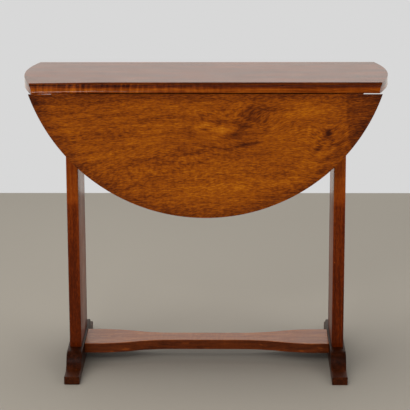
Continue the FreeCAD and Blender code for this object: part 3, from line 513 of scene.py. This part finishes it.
railLook = figure | {
    # inside timber, planed and oiled
    "axes": "XZY",
    "seed": 51,
    "colours": ["#4a2c14", "#6d4422", "#87592f", "#9d6e3d", "#b08350"],
    "polish": 0.15,
    "sheen": 0.3,
    "roughness": 0.55,
    "polishRoughness": 0.4,
}

wingLook = railLook | {
    "seed": 61,
    "colours": ["#45220c", "#6a3a16", "#835020", "#9a6630", "#ad7a40"],
    "polish": 0.4,
    "polishRoughness": 0.25,
}


def agedMetal(name, look):
    # Rolled sheet or turned rod: fine lines from the rolling, drawn coarse enough to show,
    # and dull dark patches where it has tarnished, so that it glints only in places.
    material, tree, shader = newMaterial(name)
    metres = add(tree, "TexCoord").outputs["Object"]
    inMm = add(tree, "VectorMath", {0: metres, "Scale": 1 / mm}, operation="SCALE").outputs[0]
    tarnish = add(tree, "TexNoise", {"Vector": inMm, "Scale": 1 / look["patch"], "Detail": 4,
                                     "Roughness": 0.65}).outputs[0]
    drawn = drawnOut(tree, inMm, look["lines"])
    lines = add(tree, "TexNoise", {"Vector": drawn, "Scale": 1, "Detail": 2}).outputs[0]
    colour = add(tree, "ValToRGB", {0: tarnish}, stops=look["colours"]).outputs[0]
    rough = add(tree, "MapRange", {"Value": tarnish, 1: 0.35, 2: 0.65, 3: look["roughness"][1],
                                   4: look["roughness"][0]}).outputs[0]
    bump = add(tree, "Bump", {"Height": lines, "Distance": 0.02 * mm, "Strength": 0.4}).outputs[0]
    tree.links.new(colour, shader.inputs["Base Color"])
    tree.links.new(rough, shader.inputs["Roughness"])
    tree.links.new(bump, shader.inputs["Normal"])
    shader.inputs["Metallic"].default_value = 1.0
    return material


brass = agedMetal("aged_rolled_brass", {
    "patch": 7,
    "lines": (12, 0.4),
    "roughness": (0.28, 0.5),
    "colours": [(0.3, "#6b4a1f"), (0.5, "#a8823e"), (0.7, "#c9a65c")],
})
steel = agedMetal("turned_mild_steel", {
    "patch": 5,
    "lines": (12, 0.4),
    "roughness": (0.3, 0.55),
    "colours": [(0.3, "#4a4642"), (0.5, "#77736d"), (0.7, "#98948d")],
})
leafWood = polishedWood("french_polished_leaf", leafLook)
topWood = polishedWood("french_polished_top", topLook)
plankWood = polishedWood("french_polished_plank", plankLook)
footWood = polishedWood("dark_stained_foot", footLook)
stretcherWood = polishedWood("french_polished_stretcher", stretcherLook)
railWood = polishedWood("oiled_inside_timber", railLook)
wingWood = polishedWood("waxed_wing_timber", wingLook)
print("materials ready")


board = {
    "ovolo": 17,             # its centre is the hinge pin
    "hingeOut": 200,
    "hingeHalf": 19.4,       # half a hinge and its clearance
    "recess": 0.4,
    "groove": 3.4,           # round the knuckles
    "wall": 0.05,            # the walls of the recess slope within this
    "flat": 122,             # columns are wide apart up to here,
    "border": 124.25,        # and close together from here to the moulding
    "straight": 235,         # rows are square to the grain up to here
    "sag": 2.2,              # the front corner at the left has dropped by this
    "lip": 1,                # the moulding reaches lower at both ends by this,
    "lipFrom": 110,          # starting here
    "lipRun": 20,            # and whole this much further out
    "arris": 0.9,
}


def topBoard():
    # Height over the plan: z = top out to the pin, a small step down, which is the fillet,
    # and then the ovolo, a circle about the pin.
    # Rows run along y. A point of the end is at x = root of R squared less y squared.
    turn = np.linspace(0, math.acos((table["under"] - table["pinHeight"]) / board["ovolo"]), 15)
    mouldY = table["pinOut"] + board["ovolo"] * np.sin(turn)
    mouldZ = table["pinHeight"] + board["ovolo"] * np.cos(turn)
    flatY = np.concatenate([np.linspace(0, board["flat"], 15),
                            np.linspace(board["border"], table["pinOut"], 6)])
    y = np.concatenate([flatY, mouldY])
    high = np.concatenate([np.full(len(flatY), table["top"]), mouldZ])
    y = np.concatenate([-y[::-1], y[1:]])
    high = np.concatenate([high[::-1], high[1:]])
    near = board["hingeOut"] - board["hingeHalf"]
    far = board["hingeOut"] + board["hingeHalf"]
    steps = np.array([near - board["wall"], near, far, far + board["wall"],
                      board["straight"]])
    rows = np.concatenate([-steps[::-1], steps])[:, None]
    end = np.sqrt(table["radius"] ** 2 - y ** 2)[None, :]
    x = np.concatenate([-end, np.broadcast_to(rows, (len(rows), len(y))), end])
    out = np.abs(y)[None, :]
    groove = board["groove"] ** 2 - (out - table["pinOut"]) ** 2
    cut = np.where(out >= table["pinOut"], table["under"] + board["recess"], table["under"])
    cut = np.maximum(cut, table["pinHeight"] + np.sqrt(np.maximum(groove, 0)))
    isHinge = (np.abs(x) >= near) & (np.abs(x) <= far)
    low = np.where(isHinge, cut, table["under"])
    low = np.minimum(low, high[None, :])
    # both grow in a straight line beyond the straight rows: the sag from back to front, and
    # the lip under the moulding alone
    beyond = np.clip((np.abs(x) - board["straight"]) / (table["radius"] - board["straight"]),
                     0, 1)
    drop = board["sag"] * beyond * (x < 0) * np.clip(-y / table["pinOut"], 0, 1)[None, :]
    lip = board["lip"] * beyond * np.clip((out - board["lipFrom"]) / board["lipRun"], 0, 1)
    return platePoints(asGrid(x, y[None, :], low - drop - lip),
                       asGrid(x, y[None, :], high - drop))


points, faces = topBoard()
topPiece = buildPiece("centre_board", points, faces.tolist())
softenEdges(topPiece, board["arris"])
place(topPiece, "frame", "top_wood", topWood, "top_board")

leaf = {
    "cove": 18.2,
    "edge": 127.15,          # straight edge from the centre line, when the leaf is up
    "arris": 0.9,
}


def leafPlate(isRear):
    # A plate of the round top beyond its straight edge. Columns stand at x = R sin(turn), from
    # the straight edge to the rim at R cos(turn). The underside is the cove, a circle about
    # the pin, and then flat.
    reach = math.acos(leaf["edge"] / table["radius"])
    turn = np.linspace(-reach, reach, 121)[None, :]
    rim = table["radius"] * np.cos(turn)
    x = table["radius"] * np.sin(turn)
    coveEnd = math.sqrt(leaf["cove"] ** 2 - (table["under"] - table["pinHeight"]) ** 2)
    sweep = np.linspace(0, 1, 10)[:, None]
    start = math.asin((leaf["edge"] - table["pinOut"]) / leaf["cove"])
    finish = math.asin(coveEnd / leaf["cove"])
    coveY = table["pinOut"] + leaf["cove"] * np.sin(start + (finish - start) * sweep)
    y = np.minimum(coveY, rim)
    share = np.linspace(0, 1, 8)[1:, None]
    y = np.concatenate([y, y[-1] + (rim - y[-1]) * share])
    room = np.maximum(leaf["cove"] ** 2 - (y - table["pinOut"]) ** 2, 0)
    low = np.maximum(table["pinHeight"] + np.sqrt(room), table["under"])
    below = halfTurn(hang(asGrid(x, -y, low)), isRear)
    above = halfTurn(hang(asGrid(x, -y, table["top"])), isRear)
    return platePoints(below, above)


for side in ("front", "rear"):
    points, faces = leafPlate(side == "rear")
    piece = buildPiece(f"{side}_hanging_leaf", points, faces.tolist())
    softenEdges(piece, leaf["arris"])
    place(piece, f"{side}_leaf", "leaf_wood", leafWood, f"{side}_leaf")
print("top and leaves built")


plank = {"centre": 294, "thick": 26, "half": 87.5, "from": 50, "to": 640, "round": 4}
foot = {"centre": 294, "thick": 34, "height": 50, "flat": 113, "sweep": 27, "turn": 66,
        "reach": 201, "arris": 1.6}
bar = {"under": 24, "top": 46.5, "end": 53.5, "waist": 27, "straight": 80, "flare": 250,
       "long": 277, "arris": 1.3}


def roundedLoop(left, right, low, high, radius):
    # A rectangle whose corners are quarter circles, anticlockwise.
    quarter = np.linspace(0, math.pi / 2, 8)
    corners = []
    for number, (x, y) in enumerate([(right, high), (left, high), (left, low), (right, low)]):
        turn = quarter + number * math.pi / 2
        inward = [(-1, -1), (1, -1), (1, 1), (-1, 1)][number]
        centre = (x + inward[0] * radius, y + inward[1] * radius)
        corners.append(np.column_stack([centre[0] + radius * np.cos(turn),
                                        centre[1] + radius * np.sin(turn)]))
    return np.concatenate(corners)


def footTop(y):
    # Flat, then an arc that falls away and one that levels out, both of the same radius.
    out = np.abs(y) - foot["flat"]
    run = foot["sweep"] * math.sin(math.radians(foot["turn"]))
    drop = foot["sweep"] * (1 - math.cos(math.radians(foot["turn"])))
    first = np.sqrt(np.maximum(foot["sweep"] ** 2 - np.clip(out, 0, run) ** 2, 0))
    second = np.sqrt(np.maximum(foot["sweep"] ** 2 - np.clip(2 * run - out, 0, run) ** 2, 0))
    falling = foot["height"] - (foot["sweep"] - first)
    levelling = foot["height"] - 2 * drop + (foot["sweep"] - second)
    return np.where(out < run, falling, levelling)


def footPlate(sign):
    run = foot["sweep"] * math.sin(math.radians(foot["turn"]))
    turn = np.linspace(0, math.radians(foot["turn"]), 12)
    down = foot["flat"] + foot["sweep"] * np.sin(turn)
    level = foot["flat"] + 2 * run - foot["sweep"] * np.sin(turn[::-1])
    half = np.concatenate([[0], down, level[1:], [foot["reach"]]])
    y = np.concatenate([-half[::-1], half[1:]])[None, :]
    x = sign * foot["centre"] + np.array([[-0.5], [0.5]]) * foot["thick"]
    return platePoints(asGrid(x, y, 0), asGrid(x, y, footTop(y)))


def barWidth(x):
    # Half width: full at the feet, two tangent arcs down to a straight waist.
    run = (bar["flare"] - bar["straight"]) / 2
    rise = (bar["end"] - bar["waist"]) / 2
    radius = (run ** 2 + rise ** 2) / (2 * rise)
    out = np.abs(x)
    inward = np.clip(bar["flare"] - out, 0, run)
    outward = np.clip(out - bar["straight"], 0, run)
    wide = bar["end"] - (radius - np.sqrt(radius ** 2 - inward ** 2))
    slim = bar["waist"] + (radius - np.sqrt(radius ** 2 - outward ** 2))
    return np.where(out > bar["straight"] + run, wide, slim)


def barPlate():
    half = np.concatenate([[0], np.linspace(bar["straight"], bar["flare"], 29), [bar["long"]]])
    x = np.concatenate([-half[::-1], half[1:]])[None, :]
    y = np.array([[-1], [1]]) * barWidth(x)
    return platePoints(asGrid(x, y, bar["under"]), asGrid(x, y, bar["top"]))


for hand, sign in (("left", -1), ("right", 1)):
    left = sign * plank["centre"] - plank["thick"] / 2
    loop = roundedLoop(left, left + plank["thick"], -plank["half"], plank["half"], plank["round"])
    points, faces = prismPoints(loop, (plank["from"], plank["to"]))
    piece = buildPiece(f"{hand}_plank", points, faces)
    piece.data.set_sharp_from_angle(angle=math.radians(sharpAngle))
    place(piece, "frame", "plank_wood", plankWood, f"{hand}_end_plank")
    points, faces = footPlate(sign)
    piece = buildPiece(f"{hand}_sled_foot", points, faces.tolist())
    softenEdges(piece, foot["arris"])
    place(piece, "frame", "foot_wood", footWood, f"{hand}_foot")
points, faces = barPlate()
piece = buildPiece("waisted_stretcher", points, faces.tolist())
softenEdges(piece, bar["arris"])
place(piece, "frame", "stretcher_wood", stretcherWood, "stretcher")
print("stand built")


rail = {"half": 10, "from": 490, "to": 640, "long": 281, "arris": 0.8}
cleat = {"inner": 259, "outer": 281, "near": 11, "far": 83.5, "from": 615, "bevel": 7,
         "edge": 0.01, "upScrew": 14, "sideScrew": 28, "arris": 0.7}
wing = {
    "pivot": (-60, -19.5),
    "half": 8,
    "from": 520,
    "to": 638,
    "long": 210,
    "tipTop": 613,
    "tipUnder": 587,
    "fall": 25 / 98,         # slope of the outer top edge
    "ramp": 9 / 15,          # slope of its bevel across the thickness
    "crest": 7,              # the bevel starts here, across the thickness
    "heelLong": 46,          # the lower edge rises beyond this
    "heelRound": 7.7,
    "tipRound": 6,
    "swing": 65,
    "arris": 0.8,
}
block = {"across": (38, 82), "deep": (10, 37.5), "from": 495.6, "to": 519.6, "corner": 6,
         "screwOut": 14, "arris": 0.6}
bearer = {"start": 150, "end": 204, "gap": 0.3, "stop": 9, "drop": 7, "ahead": 20,
          "wall": 0.02, "screwIn": 13, "screwSide": 16, "sunk": 0.3, "arris": 0.8}


def boxPlate(left, right, near, far, low, high):
    x = np.array([[left], [right]])
    y = np.array([[near, far]])
    return platePoints(asGrid(x, y, low), asGrid(x, y, high))


def wingTop(r, across):
    # Level, then falling to the tip, and bevelled across the leading half.
    falling = wing["tipTop"] + wing["fall"] * (wing["long"] - r)
    falling = falling - wing["ramp"] * np.maximum(wing["crest"] - across, 0)
    return np.minimum(wing["to"], falling)


def wingPlate(isRear):
    # Columns stand along the wing at a distance r from the pivot. The lower edge is straight
    # and then an arc that rises to the tip. Both ends are rounded.
    heel = -np.linspace(0, 1, 9)[::-1] * wing["half"]
    body = np.linspace(4, wing["long"] - wing["tipRound"], 48)
    quarter = np.linspace(0, math.pi / 2, 7)
    tip = wing["long"] - wing["tipRound"] + wing["tipRound"] * np.sin(quarter)
    r = np.concatenate([heel, body, tip[1:]])[None, :]
    rise = wing["tipUnder"] - wing["from"]
    run = wing["long"] - wing["heelLong"]
    sweep = (run ** 2 + rise ** 2) / (2 * rise)
    out = np.maximum(r - wing["heelLong"], 0)
    under = wing["from"] + sweep - np.sqrt(sweep ** 2 - out ** 2)
    turned = np.maximum(r - (wing["long"] - wing["tipRound"]), 0)
    tuck = wing["tipRound"] - np.sqrt(np.maximum(wing["tipRound"] ** 2 - turned ** 2, 0))
    behind = np.clip(-r - (wing["half"] - wing["heelRound"]), 0, wing["heelRound"])
    thick = (wing["half"] - wing["heelRound"]) + np.sqrt(wing["heelRound"] ** 2 - behind ** 2)
    share = np.array([-1, -0.75, -0.5, -0.25, 0, 0.25, 0.5, 0.75, 0.875, 1])[:, None]
    across = share * thick
    high = wingTop(r, across) - tuck
    x = wing["pivot"][0] + r
    y = wing["pivot"][1] + across
    below = halfTurn(asGrid(x, y, under + tuck), isRear)
    return platePoints(below, halfTurn(asGrid(x, y, high), isRear))


def swingOut(points):
    # From beside the wing's pivot, along X, to the place of the open wing.
    turn = -math.radians(wing["swing"])
    placed = points.copy()
    placed[..., 0] = (wing["pivot"][0] + points[..., 0] * math.cos(turn)
                      - points[..., 1] * math.sin(turn))
    placed[..., 1] = (wing["pivot"][1] + points[..., 0] * math.sin(turn)
                      + points[..., 1] * math.cos(turn))
    return placed


def bearerPlate(isRear):
    # Drawn along the open wing: a ramp that follows the wing's bevelled edge, and a stop for
    # its leading face. Then turned to the open wing's place and hung with the leaf.
    edge = wing["half"] + bearer["gap"]
    across = np.array([-edge - bearer["stop"], -edge, -edge + bearer["wall"],
                       bearer["ahead"]])[:, None]
    r = np.array([[bearer["start"], bearer["end"]]])
    falling = wing["tipTop"] + wing["fall"] * (wing["long"] - r) + bearer["gap"]
    low = falling - wing["ramp"] * (wing["crest"] - across)
    stop = falling - wing["ramp"] * (wing["crest"] + edge) - bearer["drop"]
    low = np.where(across < -edge + bearer["wall"] / 2, stop, low)
    low = np.minimum(low, table["under"] - 1)
    below = halfTurn(hang(swingOut(asGrid(r, across, low))), isRear)
    above = halfTurn(hang(swingOut(asGrid(r, across, table["under"]))), isRear)
    return platePoints(below, above)


points, faces = boxPlate(-rail["long"], rail["long"], -rail["half"], rail["half"],
                         rail["from"], rail["to"])
piece = buildPiece("centre_rail", points, faces.tolist())
softenEdges(piece, rail["arris"])
place(piece, "frame", "rail_wood", railWood, "spine_rail")

for side, ahead in (("front", -1), ("rear", 1)):
    isRear = side == "rear"
    for hand, sign in (("left", -1), ("right", 1)):
        # bevelled along its free lower edge, where the side face starts a hair higher
        x = sign * np.array([cleat["inner"], cleat["inner"], cleat["inner"] + cleat["bevel"],
                             cleat["outer"]])[:, None]
        bevelTop = cleat["from"] + cleat["bevel"]
        low = np.array([bevelTop + cleat["edge"], bevelTop, cleat["from"],
                        cleat["from"]])[:, None]
        y = ahead * np.array([[cleat["near"], cleat["far"]]])
        points, faces = platePoints(asGrid(x, y, low), asGrid(x, y, table["under"]))
        piece = buildPiece(f"{side}_{hand}_corner_cleat", points, faces.tolist())
        softenEdges(piece, cleat["arris"])
        place(piece, "frame", "rail_wood", railWood, f"{side}_{hand}_cleat")
    points, faces = wingPlate(isRear)
    piece = buildPiece(f"{side}_butterfly_wing", points, faces.tolist())
    softenEdges(piece, wing["arris"])
    place(piece, f"{side}_wing", "wing_wood", wingWood, f"{side}_wing")
    # a block whose two outer corners are cut off
    near, far = block["deep"]
    least, most = block["across"]
    corner = block["corner"]
    loop = -np.array([(least, near), (most, near), (most, far - corner), (most - corner, far),
                      (least + corner, far), (least, far - corner)])
    points, faces = prismPoints(loop, (block["from"], block["to"]))
    piece = buildPiece(f"{side}_wing_block", halfTurn(points, isRear), faces)
    softenEdges(piece, block["arris"])
    place(piece, "frame", "rail_wood", railWood, f"{side}_pivot_block")
    points, faces = bearerPlate(isRear)
    piece = buildPiece(f"{side}_ramp_bearer", points, faces.tolist())
    softenEdges(piece, bearer["arris"])
    place(piece, f"{side}_leaf", "wing_wood", wingWood, f"{side}_bearer")
print("rail, cleats, wings and bearers built")

# the back of a head lies inside the wood
roundHead = {"radius": 4, "wall": 0.7, "crown": 2.3, "slotDeep": 1.3, "back": -0.5}
flatHead = {"radius": 3, "wall": 0, "crown": 0, "slotDeep": 0.8, "back": -1.5}
bearerHead = flatHead | {"radius": 4, "slotDeep": 1.1}
slotHalf = 0.13              # of the head's radius


def screwHeads(seats, head):
    # A slotted head at each seat, which is a point and the direction of the shank. On a grid
    # of chords its height is wall + crown times the root of 1 - r squared, or the floor of
    # the slot where that is lower. Each next head is turned by a further 50 degrees.
    half = np.array([slotHalf, slotHalf * 1.08, 0.34, 0.58, 0.78, 0.92, 1])
    v = np.concatenate([-half[::-1], half])[:, None]
    u = np.sqrt(1 - v ** 2) * np.linspace(-1, 1, 13)[None, :]
    v = np.broadcast_to(v, u.shape)
    high = head["wall"] + head["crown"] * np.sqrt(np.maximum(1 - u ** 2 - v ** 2, 0))
    floor = head["wall"] + head["crown"] - head["slotDeep"]
    high = np.where(np.abs(v) <= slotHalf * 1.01, np.minimum(high, floor), high)
    places, faces, count = [], [], 0
    for number, (seat, inward) in enumerate(seats):
        inward = np.array(inward, float) / np.linalg.norm(inward)
        aside = np.cross([0, 1, 0] if abs(inward[2]) > 0.9 else [0, 0, 1], inward)
        aside = aside / np.linalg.norm(aside)
        upward = np.cross(inward, aside)
        turn = math.radians(50 * number)
        first = math.cos(turn) * aside + math.sin(turn) * upward
        second = math.cos(turn) * upward - math.sin(turn) * aside
        plan = (np.array(seat, float) + head["radius"] * (u[..., None] * first
                                                          + v[..., None] * second))
        points, quads = platePoints(plan - head["back"] * inward,
                                    plan - high[..., None] * inward)
        places.append(points)
        faces.append(quads + count)
        count += len(points)
    return np.concatenate(places), np.concatenate(faces).tolist()


def placeScrews(name, points, faces, body, slot, metal, node):
    piece = buildPiece(name, points, faces)
    piece.data.set_sharp_from_angle(angle=math.radians(35))
    place(piece, body, slot, metal, node)


def bothEnds(points, faces):
    # The same again, half a turn round the table.
    again = (np.array(faces) + len(points)).tolist()
    return np.concatenate([points, halfTurn(points, True)]), faces + again


middle = (cleat["inner"] + cleat["outer"]) / 2
level = (cleat["from"] + table["under"]) / 2
seats = []
for ahead in (-1, 1):
    for inset in (cleat["upScrew"], cleat["far"] - cleat["near"] - cleat["upScrew"]):
        seats.append(((middle, ahead * (cleat["near"] + inset), cleat["from"]), (0, 0, 1)))
    for inset in (cleat["sideScrew"], cleat["far"] - cleat["near"] - cleat["sideScrew"]):
        seats.append(((cleat["inner"], ahead * (cleat["near"] + inset), level), (1, 0, 0)))
points, faces = bothEnds(*screwHeads(seats, roundHead))
placeScrews("cleat_screw_heads", points, faces, "frame", "screw_brass", steel, "cleat_screws")

middle = (block["from"] + block["to"]) / 2
seats = [((wing["pivot"][0] + out, -block["deep"][1], middle), (0, 1, 0))
         for out in (-block["screwOut"], block["screwOut"])]
points, faces = bothEnds(*screwHeads(seats, roundHead))
placeScrews("block_screw_heads", points, faces, "frame", "screw_brass", steel,
            "pivot_block_screws")

hinge = {"screwOut": 12, "fixedScrew": 109, "leafScrew": 165, "under": 638.2}
across = [sign * board["hingeOut"] + out for sign in (-1, 1)
          for out in (-hinge["screwOut"], hinge["screwOut"])]
seats = [((x, -hinge["fixedScrew"], hinge["under"]), (0, 0, 1)) for x in across]
points, faces = bothEnds(*screwHeads(seats, flatHead))
placeScrews("top_hinge_screw_heads", points, faces, "frame", "screw_brass", steel,
            "top_hinge_screws")
for side in ("front", "rear"):
    isRear = side == "rear"
    seats = [((x, -hinge["leafScrew"], hinge["under"]), (0, 0, 1)) for x in across]
    points, faces = screwHeads(seats, flatHead)
    placeScrews(f"{side}_leaf_screw_heads", halfTurn(hang(points), isRear), faces,
                f"{side}_leaf", "screw_brass", steel, f"{side}_leaf_hinge_screws")
    # square to the ramp and sunk a little in it
    slopes = np.array([wing["fall"], -wing["ramp"], 1])
    slopes = slopes / np.linalg.norm(slopes)
    seats = []
    for r in (bearer["start"] + bearer["screwIn"], bearer["end"] - bearer["screwIn"]):
        ramp = (wing["tipTop"] + wing["fall"] * (wing["long"] - r) + bearer["gap"]
                + wing["ramp"] * (bearer["screwSide"] - wing["crest"]))
        seat = np.array([r, bearer["screwSide"], ramp]) + slopes * bearer["sunk"]
        seats.append((seat, slopes))
    points, faces = screwHeads(seats, bearerHead)
    placeScrews(f"{side}_bearer_screw_heads", halfTurn(hang(swingOut(points)), isRear), faces,
                f"{side}_leaf", "screw_brass", steel, f"{side}_bearer_screws")
print("screws built")


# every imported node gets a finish, the hinges and pins among them, which keep their shape
for name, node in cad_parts.items():
    if "hinge" in name:
        chosen = brass
    elif "screws" in name or "pins" in name:
        chosen = steel
    elif "wing" in name or "bearer" in name:
        chosen = wingWood
    else:
        chosen = railWood
    node.data.materials.clear()
    node.data.materials.append(chosen)


stage = {
    "front": -6500,
    "back": 1558,            # the pale background starts here
    "half": 5200,
    "floor": "#a0988b",
    "roughness": 0.7,
    "paper": "#d8d8d8",
}


def makeStage():
    # A plain floor. The pale room behind it belongs to the world.
    grid = asGrid(np.array([[-1], [1]]) * stage["half"], np.array([[stage["front"],
                                                                   stage["back"]]]), 0)
    mesh = bpy.data.meshes.new("studio_floor")
    mesh.from_pydata((grid.reshape(-1, 3) * mm).tolist(), [], [(0, 2, 3, 1)])
    floor = bpy.data.objects.new("studio_floor", mesh)
    bpy.context.scene.collection.objects.link(floor)
    material, tree, shader = newMaterial("studio_paper")
    surface = shader.outputs[0].links[0].to_socket
    shader.inputs["Base Color"].default_value = toLinear(stage["floor"])
    shader.inputs["Roughness"].default_value = stage["roughness"]
    # seen from below the floor is clear, so that the underside shows
    below = compute(tree, "MULTIPLY", add(tree, "NewGeometry").outputs["Backfacing"],
                    add(tree, "LightPath").outputs["Is Camera Ray"])
    clear = add(tree, "BsdfTransparent")
    shown = add(tree, "MixShader", {0: below, 1: shader.outputs[0], 2: clear.outputs[0]})
    tree.links.new(shown.outputs[0], surface)
    floor.data.materials.append(material)


lamps = [
    # name, place, aim, size across and down in metres, power in watts, seen in the polish
    ("overhead", (-0.3, 0.4, 3.1), (0, 0, 0.3), (3.2, 2.4), 62, False),
    ("front_left", (-2.6, -3.4, 2.4), (0, 0, 0.4), (2.4, 2.4), 48, False),
    ("front_right", (2.8, -3.0, 2.0), (0, 0, 0.4), (2.0, 2.0), 30, False),
    ("window", (-1.45, -6.4, 4.1), (0, 0, 0.6), (1.4, 0.7), 60, True),
]


room = {
    "fill": (0.93, 0.96, 1.0, 1),
    "fillStrength": 0.45,
    "mirrored": (1.0, 0.95, 0.88, 1),
    "backward": (0.5, 0.85),  # a mirrored ray that points this far back leaves the dim part
    "glow": (0.03, 1.0),     # strength of the dim part and of the pale part
}


def makeLamps():
    for name, spot, aim, (wide, deep), power, isSeen in lamps:
        light = bpy.data.lights.new(name, "AREA")
        light.shape = "RECTANGLE"
        light.size = wide
        light.size_y = deep
        light.energy = power
        lamp = bpy.data.objects.new(name, light)
        lamp.location = spot
        lamp.rotation_euler = (Vector(aim) - Vector(spot)).to_track_quat("-Z", "Y").to_euler()
        lamp.visible_glossy = isSeen
        lamp.visible_camera = False
        bpy.context.scene.collection.objects.link(lamp)


def makeRoom():
    # The polish sees a room that is pale behind the table and dim in front of it, the
    # camera sees the plain paper, and everything else gets an even fill.
    world = bpy.data.worlds.new("soft_room")
    world.use_nodes = True
    tree = world.node_tree
    tree.nodes.clear()
    rays = add(tree, "LightPath").outputs
    direction = add(tree, "TexCoord").outputs["Generated"]
    backward = add(tree, "SeparateXYZ", {0: direction}).outputs["Y"]
    glow = add(tree, "MapRange", {"Value": backward, 1: room["backward"][0],
                                  2: room["backward"][1], 3: room["glow"][0],
                                  4: room["glow"][1]}).outputs[0]
    fill = add(tree, "Background", {"Color": room["fill"], "Strength": room["fillStrength"]})
    mirrored = add(tree, "Background", {"Color": room["mirrored"], "Strength": glow})
    paper = add(tree, "Background", {"Color": toLinear(stage["paper"]), "Strength": 1})
    shown = add(tree, "MixShader", {0: rays["Is Glossy Ray"], 1: fill.outputs[0],
                                    2: mirrored.outputs[0]})
    shown = add(tree, "MixShader", {0: rays["Is Camera Ray"], 1: shown.outputs[0],
                                    2: paper.outputs[0]})
    add(tree, "OutputWorld", {"Surface": shown.outputs[0]})
    bpy.context.scene.world = world


view = {
    # angles in radians
    "place": (64.4, -4075.8, 1389.4),
    "lens": 164.04,
    "sensor": 36,
    "yaw": -0.01665,
    "pitch": 0.24817,
    "roll": -0.00355,
    "farthest": 60000,
}


def makeCamera():
    # Built from its three axes: forward from yaw and pitch, then a small roll.
    yaw, pitch, roll = view["yaw"], view["pitch"], view["roll"]
    forward = np.array([math.sin(yaw) * math.cos(pitch), math.cos(yaw) * math.cos(pitch),
                        -math.sin(pitch)])
    level = np.array([math.cos(yaw), -math.sin(yaw), 0])
    upright = np.cross(level, forward)
    right = math.cos(roll) * level + math.sin(roll) * upright
    upward = math.cos(roll) * upright - math.sin(roll) * level
    turn = Matrix(np.column_stack([right, upward, -forward]).tolist())
    camera = bpy.data.objects.new("camera", bpy.data.cameras.new("camera"))
    camera.data.sensor_width = view["sensor"]
    camera.data.lens = view["lens"]
    camera.data.clip_end = view["farthest"] * mm
    camera.matrix_world = (Matrix.Translation(Vector(view["place"]) * mm) @ turn.to_4x4())
    bpy.context.scene.collection.objects.link(camera)
    bpy.context.scene.camera = camera


makeStage()
makeLamps()
makeRoom()
makeCamera()
bpy.context.scene.view_settings.view_transform = "Standard"
print("stage, lights and camera ready")
